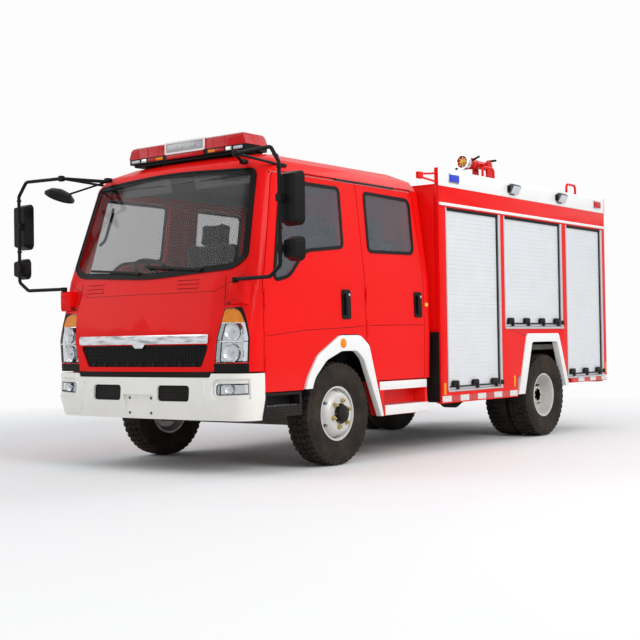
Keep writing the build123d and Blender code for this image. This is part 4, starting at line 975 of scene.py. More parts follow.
def lamp_bowl(bm, row):
    """Bright bowl with a bulb, behind the cover."""
    size = row["size"]
    mouth = front_touch("front_lamps", row["x"], row["z"]) - LOOK * row["back"]
    turned(bm, [(a * size, r * size) for a, r in BOWL + BOWL[:1]], mouth, LOOK, 36, LAMP_BRIGHT)
    turned(bm, [(a * size, r * size) for a, r in BULB], mouth, LOOK, 20, LAMP_BULB)


def keep_beyond(part, spot, way):
    """Cuts a part by a plane and keeps what lies beyond it."""
    everything = list(part.verts) + list(part.edges) + list(part.faces)
    bmesh.ops.bisect_plane(part, geom=everything, dist=1e-5, plane_co=spot, plane_no=way, clear_inner=True)


def amber_lens(bm):
    amber = lamp_skin(HEAD)
    keep_beyond(amber, (0, 0, AMBER_LOW), UP)
    keep_beyond(amber, (0, 0, AMBER_HIGH), -UP)
    shift(amber, -CORNER * AMBER_SET)
    thicken(amber, -CORNER * AMBER_T)
    join(bm, amber, LAMP_AMBER)


def dark_strips(bm):
    """Black edge along the back of the head lamp, and a black strip of painted shadow on the panel below it.
    """
    edge = lamp_skin(HEAD)
    keep_beyond(edge, (0, FRONT + LAMP_EDGE, 0), BACK)
    # The strip below the lamp is painted shadow: a black sheet where the lamp's shadow line falls.
    foot = skin("cab_front", CORNER, 0.3)
    keep_beyond(foot, (LAMP_INNER, 0, 0), OUTWARD)
    keep_beyond(foot, (0, 0, LAMP_FOOT), -UP)
    keep_beyond(foot, (0, FRONT + LAMP_DEPTH, 0), AHEAD)
    for strip in (edge, foot):
        shift(strip, CORNER * HAIR)
        thicken(strip, CORNER * STRIP_T)
        join(bm, strip, LAMP_RIM)


bm = bmesh.new()
for lamp in (HEAD, FOG):
    lamp_shell(bm, lamp)
for row in BOWLS:
    lamp_bowl(bm, row)
amber_lens(bm)
dark_strips(bm)
for z in (AMBER_LOW - PARTING_HALF, HEAD_PARTING):
    plate(bm, ["front_lamps"], AHEAD, rectangle(0.79, 0.985, z - PARTING_HALF, z + PARTING_HALF),
          on_front(-0.012), 0.006, LAMP_BRIGHT)
slab(bm, NOTCH["x"], moved(NOTCH["y"], FRONT), NOTCH["z"], 0.0, 1, LAMP_RIM)
both_sides(bm)
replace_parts(finish_piece("lamp_units", bm, LAMP_FINISHES, "chassis"), "front_lamps")

# %% [markdown]
# ## Front panel
# The flap over the radiator shows as a dark gap line and as fine lines of painted shade along its creases.
# A group of pressed louvres sits at each side of its top with painted shade under each, and a half oval of
# painted shade lies over each lamp. Below the bright bar is a mesh of moulded bars.

# %% Flap lines, louvres and recess
PANEL = ["cab_front"]
RAISED, SHADE, GAP = range(3)
FINE_LINE = 0.0045
GAP_LINE = 0.0060
FLAP_TOP = [(-0.690, 1.342), (0.690, 1.342)]
# Lines with paint SHADE are painted shade along creases; the GAP line is a dark gap.
FLAP_SIDES = [
    dict(points=[(0.800, 1.228), (0.786, 1.340), (0.772, 1.450)], width=GAP_LINE, paint=GAP),
    dict(points=[(0.778, 1.385), (0.985, 1.480)], width=FINE_LINE, paint=SHADE),
    dict(points=[(0.690, 1.342), (0.778, 1.385)], width=FINE_LINE, paint=SHADE),
]
LOUVRES = ((-0.712, -0.500), (0.318, 0.527))
LOUVRE_Z = (1.374, 1.405, 1.436)
LOUVRE_H = 0.013
LOUVRE_FOOT = 0.005
RECESS = dict(x=0.895, z=1.240, half=0.085, rise=0.034, steps=12)


def mirrored(points, way):
    return [(way * x, z) for x, z in points]


def panel_line(bm, points, width, paint):
    seam(bm, PANEL, AHEAD, points, on_front(SUNK), width, LINE_PROUD, paint)


def recess_arch():
    """Half oval of shade over the lamp, as a row of (x, z) points."""
    turns = [math.pi * k / RECESS["steps"] for k in range(RECESS["steps"] + 1)]
    return [(RECESS["x"] + RECESS["half"] * math.cos(t), RECESS["z"] + RECESS["rise"] * math.sin(t))
            for t in turns]


bm = bmesh.new()
# Painted shade along the crease at the top of the flap.
panel_line(bm, FLAP_TOP, FINE_LINE, SHADE)
for way in (-1, 1):
    for row in FLAP_SIDES:
        panel_line(bm, mirrored(row["points"], way), row["width"], row["paint"])
    plate(bm, PANEL, AHEAD, mirrored(recess_arch(), way), on_front(SUNK), 0.0012, SHADE)
for x0, x1 in LOUVRES:
    for z in LOUVRE_Z:
        plate(bm, PANEL, AHEAD, rectangle(x0, x1, z, z + LOUVRE_H), on_front(-0.001), 0.006, RAISED, 0.005)
        # Painted shade along the foot of each louvre.
        plate(bm, PANEL, AHEAD, rectangle(x0 + 0.004, x1 - 0.004, z - LOUVRE_FOOT, z), on_front(SUNK),
              LINE_PROUD, SHADE)
finish_piece("flap_lines", bm, [RED_PAINT, PAINTED_SHADE_RED, SEAL_RUBBER], "chassis")

# %% Grille mesh
GRILLE_LOW, GRILLE_HIGH = 0.797, 0.951
GRILLE_FOOT, GRILLE_HALF = 0.792, 0.600
GRILLE_FLARE = 0.078 / 0.163
LONG_BARS = dict(count=6, first=0.012, step=0.027, thick=0.007)
UPRIGHTS = dict(count=21, step=0.030, thick=0.005)
STUDS = dict(count=4, step=0.135, z=0.806)
STUD = [(0.0, 0.020), (0.008, 0.018), (0.013, 0.010), (0.014, 0.0)]
BUMPER_BARS = dict(count=4, x=(0.205, 0.505), z=0.560, step=0.026, thick=0.006)


def grille_half(z):
    """Half the width of the grille, which flares upwards."""
    return GRILLE_HALF + (z - GRILLE_FOOT) * GRILLE_FLARE


def grille_bar(bm, start, end, thick):
    seam(bm, ["grilles"], AHEAD, [start, end], on_front(-0.001), thick, thick)


bm = bmesh.new()
for k in range(LONG_BARS["count"]):
    z = GRILLE_LOW + LONG_BARS["first"] + k * LONG_BARS["step"]
    half = grille_half(z)
    grille_bar(bm, (-half, z), (half, z), LONG_BARS["thick"])
for k in range(-UPRIGHTS["count"], UPRIGHTS["count"] + 1):
    x = k * UPRIGHTS["step"]
    low = GRILLE_LOW + max(0.0, abs(x) - GRILLE_HALF - 0.002) / GRILLE_FLARE
    grille_bar(bm, (x, low), (x, GRILLE_HIGH), UPRIGHTS["thick"])
for k in range(-STUDS["count"], STUDS["count"] + 1):
    turned(bm, STUD, front_touch("grilles", k * STUDS["step"], STUDS["z"]), AHEAD, 16)
for way in (-1, 1):
    for k in range(BUMPER_BARS["count"]):
        z = BUMPER_BARS["z"] + k * BUMPER_BARS["step"]
        inner, outer = BUMPER_BARS["x"]
        grille_bar(bm, (way * inner, z), (way * outer, z), BUMPER_BARS["thick"])
finish_piece("grille_mesh", bm, [BLACK], "chassis")

# %% Bumper bolts and lines
BOLT_X, BOLT_Z = (-0.115, 0.115), (0.448, 0.560)
BESIDE_HOLE = 0.007
VALLEY = [(0.585, 0.690), (0.640, 0.690), (0.690, 0.470), (0.735, 0.440), (1.000, 0.440)]
bm = bmesh.new()
for x in BOLT_X:
    for z in BOLT_Z:
        seat = Vector((x, front_touch("bumper", x + BESIDE_HOLE, z).y, z))
        rod(bm, seat + BACK * 0.001, seat + AHEAD * 0.002, 0.011, 24)
        rod(bm, seat, seat + AHEAD * 0.007, 0.0075, 6, edge=0.001)
finish_piece("bumper_bolts", bm, [TRIM_GREY], "chassis")
bm = bmesh.new()
for way in (-1, 1):
    seam(bm, ["bumper"], AHEAD, mirrored(VALLEY, way), on_front(-0.002), 0.020, 0.006)
finish_piece("bumper_lines", bm, [BUMPER_PAINT], "chassis")

# %% [markdown]
# ## Light bar, mirrors and roof fittings
# The bar is a black tray with red domes at the ends. Its middle holds a loudspeaker behind a perforated
# clear panel in a white frame. Small lamps sit along the tray.

# %% Light bar
BAR_FINISHES = [WHITE_PAINT, SPEAKER, RED_LENS, AMBER_LENS, CLEAR_LENS, CHROME, BLACK]
BAR_WHITE, BAR_PANEL, BAR_RED, BAR_AMBER, BAR_CLEAR, BAR_CHROME, BAR_BLACK = range(7)
BAR_LOW, BAR_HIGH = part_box("light_bar_base")
LENS_LOW, LENS_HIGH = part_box("light_bar_lenses")
BAR_FACE = LENS_LOW.y
BAR_MID = 0.205
DOME_H = LENS_HIGH.z - LENS_LOW.z
DOME_RIBS = (0.30, 0.42, 0.54)
PANEL_FRAME = 0.014
TRAY_LAMP = dict(y=(-0.006, 0.004), z=(-0.034, -0.010), edge=0.005)
TRAY_ROW = [
    dict(TRAY_LAMP, x=0.290, half=0.044, paint=BAR_AMBER),
    dict(TRAY_LAMP, x=0.370, half=0.050, paint=BAR_RED),
    dict(TRAY_LAMP, x=0.560, half=0.046, paint=BAR_CLEAR),
    dict(x=0.465, half=0.030, y=(-0.004, 0.004), z=(-0.036, -0.008), edge=0.003, paint=BAR_CHROME),
]


def on_bar(bm, x, y, z, edge, paint, segments=2):
    """Block on the bar; y is counted from the face of the domes and z from their foot."""
    slab(bm, x, moved(y, BAR_FACE), moved(z, LENS_LOW.z), edge, segments, paint)


bm = bmesh.new()
part = flat(rectangle(-BAR_MID - 0.012, BAR_MID + 0.012, LENS_LOW.z - 0.004, LENS_HIGH.z + 0.002),
            place_y(BAR_FACE - 0.001), PANEL_FRAME)
frame_of(part, PANEL_FRAME)
thicken(part, AHEAD * 0.010)
join(bm, part, BAR_WHITE)
on_bar(bm, about(0, BAR_MID), (-0.006, 0.010), (0.006, DOME_H - 0.008), 0.003, BAR_PANEL)
on_bar(bm, about(0, BAR_MID - 0.004), (-0.010, 0.010), (-0.042, -0.006), 0.006, BAR_RED)
on_bar(bm, (LENS_LOW.x + 0.045, LENS_HIGH.x - 0.045), (0.030, LENS_HIGH.y - BAR_FACE - 0.030),
       (DOME_H - 0.004, DOME_H + 0.005), 0.004, BAR_WHITE)
slab(bm, (BAR_LOW.x + 0.030, BAR_HIGH.x - 0.030), (BAR_FACE + 0.020, BAR_HIGH.y - 0.020),
     (BAR_LOW.z + 0.015, LENS_LOW.z - 0.040), 0.006, 2, BAR_BLACK)
for way in (-1, 1):
    for row in TRAY_ROW:
        on_bar(bm, about(way * row["x"], row["half"]), row["y"], row["z"], row["edge"], row["paint"])
    for x in DOME_RIBS:
        on_bar(bm, about(way * x, 0.002), (-0.002, 0.003), (0.004, DOME_H - 0.012), 0.0005, BAR_RED, 1)
finish_piece("light_bar_trim", bm, BAR_FINISHES, "chassis")

# %% Mirror glass and clamps
POST_X, POST_Y = 1.402, FRONT + 0.016
HEADS = [
    dict(x=(1.348, 1.540), y=POST_Y + 0.109, z=(1.765, 2.145)),
    dict(x=(1.382, 1.542), y=POST_Y + 0.105, z=(1.520, 1.692)),
]
GLASS_INSET = 0.012
CLAMP_GAP = 0.030
COLLARS = ((1.735, 1.752), (2.158, 2.172))
ARM_FEET = [
    dict(x=(0.716, 0.766), y=(0.372, 0.432), z=(2.293, 2.330), edge=0.010),
    dict(x=(0.900, 0.940), y=(0.610, 0.668), z=(2.276, 2.304), edge=0.008),
    dict(x=(0.924, 0.968), y=(0.062, 0.104), z=(2.292, 2.338), edge=0.008),
]


def on_post(bm, low, high, radius):
    rod(bm, (POST_X, POST_Y, low), (POST_X, POST_Y, high), radius, 20, 1)


bm = bmesh.new()
for row in HEADS:
    (x0, x1), (z0, z1) = row["x"], row["z"]
    part = flat(rectangle(x0 + GLASS_INSET, x1 - GLASS_INSET, z0 + GLASS_INSET, z1 - GLASS_INSET),
                place_y(row["y"] - 0.001), 0.034)
    thicken(part, BACK * 0.004)
    join(bm, part, 0)
    z = (z0 + z1) / 2
    for rise in (-CLAMP_GAP, CLAMP_GAP):
        on_post(bm, z + rise - 0.006, z + rise + 0.006, 0.0185)
        screw = Vector((POST_X + 0.019, POST_Y, z + rise * 0.4))
        rod(bm, screw + AHEAD * 0.014, screw + BACK * 0.020, 0.005, 6, 2)
for low, high in COLLARS:
    on_post(bm, low, high, 0.019)
for row in ARM_FEET:
    slab(bm, row["x"], moved(row["y"], FRONT), row["z"], row["edge"], 3, 1)
both_sides(bm)
finish_piece("mirror_fittings", bm, [REFLECTOR, BLACK, ZINC], "chassis")

# %% Roof dome and drip rails
DOME = [(-0.004, 0.040), (0.006, 0.040), (0.010, 0.036), (0.028, 0.032), (0.042, 0.020), (0.047, 0.0)]
DOME_PLACE = (0.62, AXLE_F - 0.255)
DRIP_RAIL = [(-0.700, 2.224), (-0.300, 2.240), (0.600, 2.244), (1.130, 2.240)]
bm = bmesh.new()
dome_foot = tree_of("cab_roof").ray_cast(Vector((*DOME_PLACE, FAR)), -UP)[0]
turned(bm, DOME, dome_foot, UP, 28)
for way in (-1, 1):
    rail = [(AXLE_F + y, z) for y, z in DRIP_RAIL]
    seam(bm, ["cab_roof", "cab_sides"], OUTWARD * way, rail, on_side(way, -0.002), 0.013, 0.012)
finish_piece("drip_rails", bm, [SEAL_RUBBER], "chassis")

# %% [markdown]
# ## Equipment body
# Roller shutters run in alloy channels with a dark brush seal at the rear edge. Each has a bottom bar with a
# black lift rail and hook latches. A white gutter keeps water off them, and red and white tape marks the
# skirt.

# %% Shutter channels, gutter and lift rails
IN_ALLOY, IN_BLACK, IN_WHITE = range(3)
THIN_SILL = dict(reach=0.008, deep=0.014, past=0.0, edge=0.003, segments=1)
DEEP_SILL = dict(reach=0.012, deep=0.021, past=0.006, edge=0.004, segments=2)
SHUTTER_TOP = 2.118
SHUTTERS = [
    dict(y=(BODY_FRONT + 0.109, AXLE_R - 0.858), low=0.520, hooks=3, sill=THIN_SILL),
    dict(y=(AXLE_R - 0.790, AXLE_R + 0.400), low=1.075, hooks=4, sill=DEEP_SILL),
    dict(y=(AXLE_R + 0.492, BODY_REAR - 0.076), low=0.562, hooks=3, sill=THIN_SILL),
]
SHUTTER_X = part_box("shutters")[1].x
GUTTER_Z = (2.130, 2.156)
HOOK = [(-0.052, 0.030), (-0.052, 0.072), (-0.036, 0.084), (0.040, 0.084), (0.052, 0.070), (0.052, 0.006),
        (0.020, 0.006), (0.020, 0.034), (0.008, 0.046), (-0.012, 0.046), (-0.020, 0.030)]


def hook(bm, x, y, z):
    """Latch hook: a base on the bottom bar and a bent finger over the rail."""
    part = flat([(y + a, z + b) for a, b in HOOK], place_x(x - 0.002), 0.004, 2)
    thicken(part, OUTWARD * 0.022)
    round_edges(part, 0.003, 2)
    join(bm, part, IN_BLACK)


def shutter_frame(bm, row):
    """Two channels, brush seals at the rear edge and the top, the bottom bar and the sill of a shutter."""
    y0, y1 = row["y"]
    z0, z1 = row["low"], SHUTTER_TOP
    sill = row["sill"]
    seat = SHUTTER_X - 0.004
    slab(bm, (seat, BODY_X + 0.003), (y0 + 0.001, y0 + 0.016), (z0, z1), 0.002, 1, IN_ALLOY)
    slab(bm, (seat, BODY_X + 0.004), (y1 - 0.036, y1 - 0.001), (z0, z1), 0.002, 1, IN_ALLOY)
    slab(bm, (seat, SHUTTER_X + 0.008), (y1 - 0.052, y1 - 0.037), (z0 + 0.020, z1), 0.002, 1, IN_BLACK)
    slab(bm, (seat, SHUTTER_X + 0.012), (y0 + 0.016, y1 - 0.037), (z1 - 0.026, z1), 0.003, 1, IN_BLACK)
    slab(bm, moved((-0.002, 0.012), SHUTTER_X), (y0 + 0.018, y1 - 0.054), (z0 + 0.002, z0 + 0.038), 0.004, 2,
         IN_ALLOY)
    slab(bm, moved((-0.004, sill["reach"]), BODY_X), (y0 - sill["past"], y1 + sill["past"]),
         (z0 - sill["deep"], z0), sill["edge"], sill["segments"], IN_ALLOY)


def shutter_latches(bm, row):
    """Lift rail, hooks and the catch on the body."""
    y0, y1 = row["y"]
    low = row["low"]
    rail = Vector((SHUTTER_X + 0.020, 0, low + 0.030))
    rod(bm, rail + BACK * (y0 + 0.030), rail + BACK * (y1 - 0.060), 0.007, 14, IN_BLACK)
    for k in range(row["hooks"]):
        share = (k + 0.35) / (row["hooks"] - 0.20)
        hook(bm, SHUTTER_X + 0.010, y0 + share * (y1 - y0), low)
    slab(bm, (BODY_X, BODY_X + 0.016), moved((-0.038, 0.008), y1), moved((0.020, 0.062), low), 0.006, 2,
         IN_BLACK)


bm = bmesh.new()
for row in SHUTTERS:
    shutter_frame(bm, row)
    shutter_latches(bm, row)
slab(bm, moved((-0.002, 0.014), BODY_X), (BODY_FRONT + 0.002, BODY_REAR - 0.002), GUTTER_Z, 0.004, 2,
     IN_WHITE)
both_sides(bm)
finish_piece("shutter_fittings", bm, [POST_ALLOY, BLACK, WHITE_PAINT], "chassis")

# %% Tape and reflectors
TAPE_BLOCK = 0.134
TAPE_H = 0.052
TAPE_T = 0.0014
TAPE_GAP = 0.001
TAPE_RUNS = [
    dict(y=(BODY_FRONT + 0.012, AXLE_R - 0.575), z=0.422, first=0),
    dict(y=(AXLE_R + 0.590, BODY_REAR - 0.006), z=0.507, first=1),
]
REAR_TAPE = dict(count=12, x=-0.96, step=0.16, z=(0.484, 0.526))
REFLECTORS = [(BODY_FRONT + 0.052, 0.536), (AXLE_R - 0.632, 0.560), (BODY_REAR - 0.036, 0.640)]
bm = bmesh.new()
for row in TAPE_RUNS:
    start, end = row["y"]
    count = int((end - start) / TAPE_BLOCK)
    length = (end - start) / count
    for k in range(count):
        y = start + k * length
        slab(bm, moved((-0.001, TAPE_T), BODY_X), (y + TAPE_GAP, y + length - TAPE_GAP),
             (row["z"], row["z"] + TAPE_H), 0.0, 1, (k + row["first"]) % 2)
for y, z in REFLECTORS:
    slab(bm, moved((-0.001, 0.006), BODY_X), about(y, 0.018), about(z, 0.052), 0.003, 2, 2)
both_sides(bm)
for k in range(REAR_TAPE["count"]):
    x = REAR_TAPE["x"] + k * REAR_TAPE["step"]
    slab(bm, (x + TAPE_GAP, x + REAR_TAPE["step"] - TAPE_GAP), moved((-0.001, TAPE_T), REAR), REAR_TAPE["z"],
         0.0, 1, k % 2)
finish_piece("marking_tape", bm, [WHITE_TAPE, RED_TAPE, AMBER_LENS], "chassis")

# %% Parapet ends and gap panels
BOARD_T = 0.037
END_T = 0.006
bm = bmesh.new()
for way in (-1, 1):
    for y in ((BODY_FRONT - END_T, BODY_FRONT), (BODY_REAR, BODY_REAR + END_T)):
        slab(bm, span(BODY_X - BOARD_T, BODY_X + 0.002, way), y, (ROOF_TOP, PARAPET_TOP + 0.003), 0.002, 1)
slab(bm, about(0, BODY_X - BOARD_T), moved((0.001, 0.004), BODY_FRONT), moved((-0.001, 0.016), ROOF_TOP),
     0.002, 1)
finish_piece("parapet_ends", bm, [RED_PAINT], "chassis")
bm = bmesh.new()
for way in (-1, 1):
    slab(bm, span(0.700, 1.092, way), moved((-0.014, -0.0005), BODY_FRONT), (0.425, 1.030), 0.006, 2)
finish_piece("gap_panels", bm, [BLACK], "chassis")

# %% Strobes, flood lamps and tail lamps
UNIT_FINISHES = [CHROME, BLUE_LENS, RED_LENS, TRIM_GREY, CLEAR_LENS, BLACK, AMBER_LENS]
UNIT_CHROME, UNIT_BLUE, UNIT_RED, UNIT_GREY, UNIT_CLEAR, UNIT_BLACK, UNIT_AMBER = range(7)
LAMP_Z = ROOF_TOP + 0.080
STROBES = [(BODY_FRONT + 0.255, UNIT_BLUE), (BODY_REAR - 0.181, UNIT_RED)]
FLOODS = (AXLE_R - 0.620, AXLE_R + 0.365)
FLOOD_LEAN = Matrix.Rotation(math.radians(28), 3, "Y")
TAIL_X = 0.960
TAIL = [((0.642, 0.700), UNIT_CLEAR), ((0.702, 0.758), UNIT_AMBER), ((0.760, 0.818), UNIT_RED)]


def strobe(bm, y, lens):
    """Bright bezel on the parapet with a coloured lens in it."""
    part = flat(rectangle(*about(y, 0.088), *about(LAMP_Z, 0.044)), place_x(BODY_X - 0.001), 0.014, 4)
    thicken(part, OUTWARD * 0.007)
    round_edges(part, 0.002, 2)
    join(bm, part, UNIT_CHROME)
    slab(bm, (BODY_X, BODY_X + 0.017), about(y, 0.074), about(LAMP_Z, 0.033), 0.010, 4, lens)


def flood(bm, y):
    """Flood lamp on a foot plate, leaning down between two brackets."""
    foot = moved((-0.055, 0.045), LAMP_Z)
    case = about(LAMP_Z, 0.046)
    glass = moved((-0.052, 0.026), LAMP_Z)
    bracket = about(LAMP_Z, 0.030)
    slab(bm, moved((-0.001, 0.008), BODY_X), about(y, 0.040), foot, 0.003, 2, UNIT_GREY)
    slab(bm, moved((0.004, 0.050), BODY_X), about(y, 0.078), case, 0.012, 3, UNIT_GREY, FLOOD_LEAN)
    slab(bm, moved((0.040, 0.054), BODY_X), about(y, 0.070), glass, 0.006, 2, UNIT_CLEAR, FLOOD_LEAN)
    for beside in (-0.084, 0.084):
        slab(bm, moved((0.002, 0.034), BODY_X), about(y + beside, 0.003), bracket, 0.002, 1, UNIT_BLACK)


bm = bmesh.new()
for y, lens in STROBES:
    strobe(bm, y, lens)
for y in FLOODS:
    flood(bm, y)
slab(bm, about(TAIL_X, 0.082), (BODY_REAR, BODY_REAR + 0.020), (0.638, 0.822), 0.006, 2, UNIT_BLACK)
for z, lens in TAIL:
    slab(bm, about(TAIL_X, 0.074), moved((0.012, 0.032), BODY_REAR), z, 0.007, 3, lens)
both_sides(bm)
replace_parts(finish_piece("body_lamp_units", bm, UNIT_FINISHES, "chassis"), "body_lamps")

# %% Rear shutter fittings
REAR_HALF = 0.600
REAR_LOW, REAR_TOP = 0.960, 2.080
GRIP_X = 0.22
PANEL_GAPS = (0.990, 1.250)
bm = bmesh.new()
channel = moved((-0.018, 0.004), BODY_REAR)
for way in (-1, 1):
    slab(bm, span(REAR_HALF - 0.030, REAR_HALF + 0.012, way), channel, (REAR_LOW, REAR_TOP), 0.002, 1, 0)
    slab(bm, about(way * GRIP_X, 0.060), moved((-0.010, 0.018), BODY_REAR), moved((0.012, 0.070), REAR_LOW),
         0.010, 3, 1)
slab(bm, about(0, REAR_HALF), channel, (REAR_TOP, REAR_TOP + 0.020), 0.002, 1, 0)
slab(bm, about(0, REAR_HALF - 0.030), moved((-0.016, 0.002), BODY_REAR), moved((0.002, 0.040), REAR_LOW),
     0.004, 2, 0)
rail = Vector((0, BODY_REAR + 0.014, REAR_LOW + 0.026))
rod(bm, rail - OUTWARD * (REAR_HALF - 0.050), rail + OUTWARD * (REAR_HALF - 0.050), 0.008, 14, 1)
for z in PANEL_GAPS:
    slab(bm, (0.660, 1.040), moved((-0.001, 0.003), BODY_REAR), (z, z + 0.004), 0.001, 1, 1)
finish_piece("rear_shutter_fittings", bm, [CROSS_ALLOY, BLACK], "chassis")

# %% [markdown]
# ## Steps and repeaters
# The side step is red inside, with white treads above and below; the front step is black with ribs.

# %% Steps and side repeaters
STEP_FINISHES = [WHITE_PAINT, CHEQUER, BLACK, AMBER_LENS, YELLOW_TAPE]
STEP_WHITE, STEP_RIB, STEP_BLACK, STEP_AMBER, STEP_YELLOW = range(5)
STEP_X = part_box("side_steps")[1].x
TREADS = [dict(y=(0.516, 1.211), z=(0.5615, 0.630)), dict(y=(0.588, 1.232), z=(0.355, 0.4355))]
SIDE_RIBS = dict(count=14, y=0.600, step=0.044, wide=0.022, x=(-0.118, -0.012), z=(0.4365, 0.4400))
STEP_LOW, STEP_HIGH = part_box("front_steps")
FRONT_LINES = (0.450, 0.472, 0.583)
FRONT_RIBS = dict(count=9, y=0.045, step=0.040, wide=0.020, x=(-0.098, -0.010), z=(0.4995, 0.5030))
REPEATER = [(-0.001, 0.038), (0.004, 0.037), (0.010, 0.026), (0.012, 0.0)]
REPEATER_PLACE = (1.048, AXLE_F + 0.029, 0.948)
YELLOW_MARK = (AXLE_F + 1.222, AXLE_F + 1.262, 1.252, 1.280)


def tread_ribs(bm, row, outer, start):
    """Row of raised bars across a step, counted from its front end."""
    for k in range(row["count"]):
        y = start + row["y"] + k * row["step"]
        slab(bm, moved(row["x"], outer), (y, y + row["wide"]), row["z"], 0.001, 1, STEP_RIB)


bm = bmesh.new()
for row in TREADS:
    slab(bm, moved((-0.002, 0.005), STEP_X), moved(row["y"], AXLE_F), row["z"], 0.003, 2, STEP_WHITE)
tread_ribs(bm, SIDE_RIBS, STEP_X, AXLE_F)
for z in FRONT_LINES:
    slab(bm, moved((-0.002, 0.003), STEP_HIGH.x), (STEP_LOW.y + 0.010, STEP_HIGH.y - 0.010), (z, z + 0.008),
         0.002, 1, STEP_BLACK)
tread_ribs(bm, FRONT_RIBS, STEP_HIGH.x, STEP_LOW.y)
turned(bm, REPEATER, REPEATER_PLACE, OUTWARD, 28, STEP_AMBER)
plate(bm, ["cab_rear_wall", "cab_sides"], OUTWARD, rectangle(*YELLOW_MARK), on_side(1, -0.001), 0.006,
      STEP_YELLOW, 0.003)
both_sides(bm)
finish_piece("step_treads", bm, STEP_FINISHES, "chassis")

# %% [markdown]
# ## Monitor
# The nozzle is a bright ring with a brass deflector. Its crossbar and the hand lever at the tail are black.

# %% Monitor nozzle
BARREL_LOW, BARREL_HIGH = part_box("monitor_barrel")
PIVOT = Vector((0, middle("monitor_yoke").y, middle("monitor_barrel").z))
TIP = BARREL_LOW.y
TAIL_END = BARREL_HIGH.y
NOZZLE = [(-0.002, 0.060), (0.006, 0.066), (0.006, 0.082), (-0.020, 0.086), (-0.050, 0.086), (-0.052, 0.079)]
DEFLECTOR = [(-0.030, 0.050), (-0.010, 0.044), (0.004, 0.020), (0.006, 0.0)]
BLADES = 4
BARREL_RINGS = [(0.075, 0.066), (0.150, 0.066), (0.212, 0.052), (0.260, 0.052)]
CROSSBAR_Y = TIP + 0.110
bm = bmesh.new()
mouth = Vector((0, TIP, PIVOT.z))
turned(bm, NOZZLE, mouth, AHEAD, 40, 0)
turned(bm, DEFLECTOR, mouth, AHEAD, 32, 1)
for k in range(BLADES):
    blade = Matrix.Rotation(math.pi * k / BLADES, 3, "Y")
    slab(bm, about(0, 0.058), moved((0.010, 0.016), TIP), about(PIVOT.z, 0.003), 0.001, 1, 0, blade)
rod(bm, (-0.150, CROSSBAR_Y, PIVOT.z - 0.055), (0.150, CROSSBAR_Y, PIVOT.z + 0.055), 0.011, 16, 2, edge=0.003)
for back, radius in BARREL_RINGS:
    ring = [(-0.008, 0.044), (-0.006, radius), (0.006, radius), (0.008, 0.044)]
    turned(bm, ring, mouth + BACK * back, AHEAD, 32, 3)
rod(bm, (0, TAIL_END - 0.030, PIVOT.z + 0.040), (0, TAIL_END + 0.060, PIVOT.z + 0.075), 0.010, 14, 2)
grip = Vector((0, TAIL_END + 0.058, PIVOT.z + 0.075))
rod(bm, grip - OUTWARD * 0.060, grip + OUTWARD * 0.060, 0.012, 16, 2, edge=0.003)
finish_piece("monitor_nozzle", bm, [CHROME, BRASS, BLACK, MONITOR_PAINT], "monitor_barrel")

# %% Monitor riser
RISER_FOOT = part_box("monitor_base")[0].z
RISER_RINGS = (0.160, 0.280)
RING_PROFILE = [(-0.010, 0.058), (-0.010, 0.074), (0.010, 0.074), (0.010, 0.058)]
bm = bmesh.new()
for rise in RISER_RINGS:
    turned(bm, RING_PROFILE, (0, PIVOT.y, RISER_FOOT + rise), UP, 32, 0)
for spot in around(8, 0.068):
    root = Vector((spot.y, PIVOT.y + spot.z, RISER_FOOT + 0.288))
    rod(bm, root, root + UP * 0.010, 0.007, 6, 1)
slab(bm, about(0, 0.125), about(PIVOT.y, 0.125), moved((-0.001, 0.010), RISER_FOOT), 0.003, 2, 0)
finish_piece("monitor_riser_fittings", bm, [MONITOR_PAINT, ZINC], "chassis")

# %% [markdown]
# ## Inside the cab
# Through the glass one sees the seats, the dashboard and the grab handles. A cushion starts as a block cut
# into a grid. Its broad faces swell towards the middle, so that it looks stuffed.

# %% Seats
SEATS = [
    dict(x=-0.520, y=-0.250, wide=0.480, places=1),
    dict(x=0.520, y=-0.250, wide=0.480, places=1),
    dict(x=0.0, y=0.560, wide=1.600, places=3),
]
PLACE_GAP = 0.006
LEAN = Matrix.Rotation(math.radians(-9), 3, "X")
SWELL = 0.16
DRAWN_IN = 0.90


def cushion(bm, x, y, z, turn=None):
    """Stuffed block: a coarse grid, a little thinner than its limits, whose broad faces bulge."""
    low, high = [Vector(corner) for corner in zip(x, y, z)]
    size = high - low
    thin = min(range(3), key=lambda i: size[i])
    part = bmesh.new()
    bmesh.ops.create_cube(part, size=1.0)
    bmesh.ops.subdivide_edges(part, edges=part.edges, cuts=3, use_grid_fill=True)
    for vert in part.verts:
        near = [1 - (2 * abs(c)) ** 4 for c in vert.co]
        vert.co[thin] *= (1 + SWELL * near[(thin + 1) % 3] * near[(thin + 2) % 3]) * DRAWN_IN
    bmesh.ops.scale(part, verts=part.verts, vec=size)
    bmesh.ops.subdivide_edges(part, edges=part.edges, cuts=1, use_grid_fill=True, smooth=1.0)
    round_edges(part, 0.012, 2, 0.9)
    if turn is not None:
        bmesh.ops.transform(part, matrix=turn.to_4x4(), verts=part.verts)
    bmesh.ops.translate(part, verts=part.verts, vec=(low + high) / 2)
    join(bm, part)


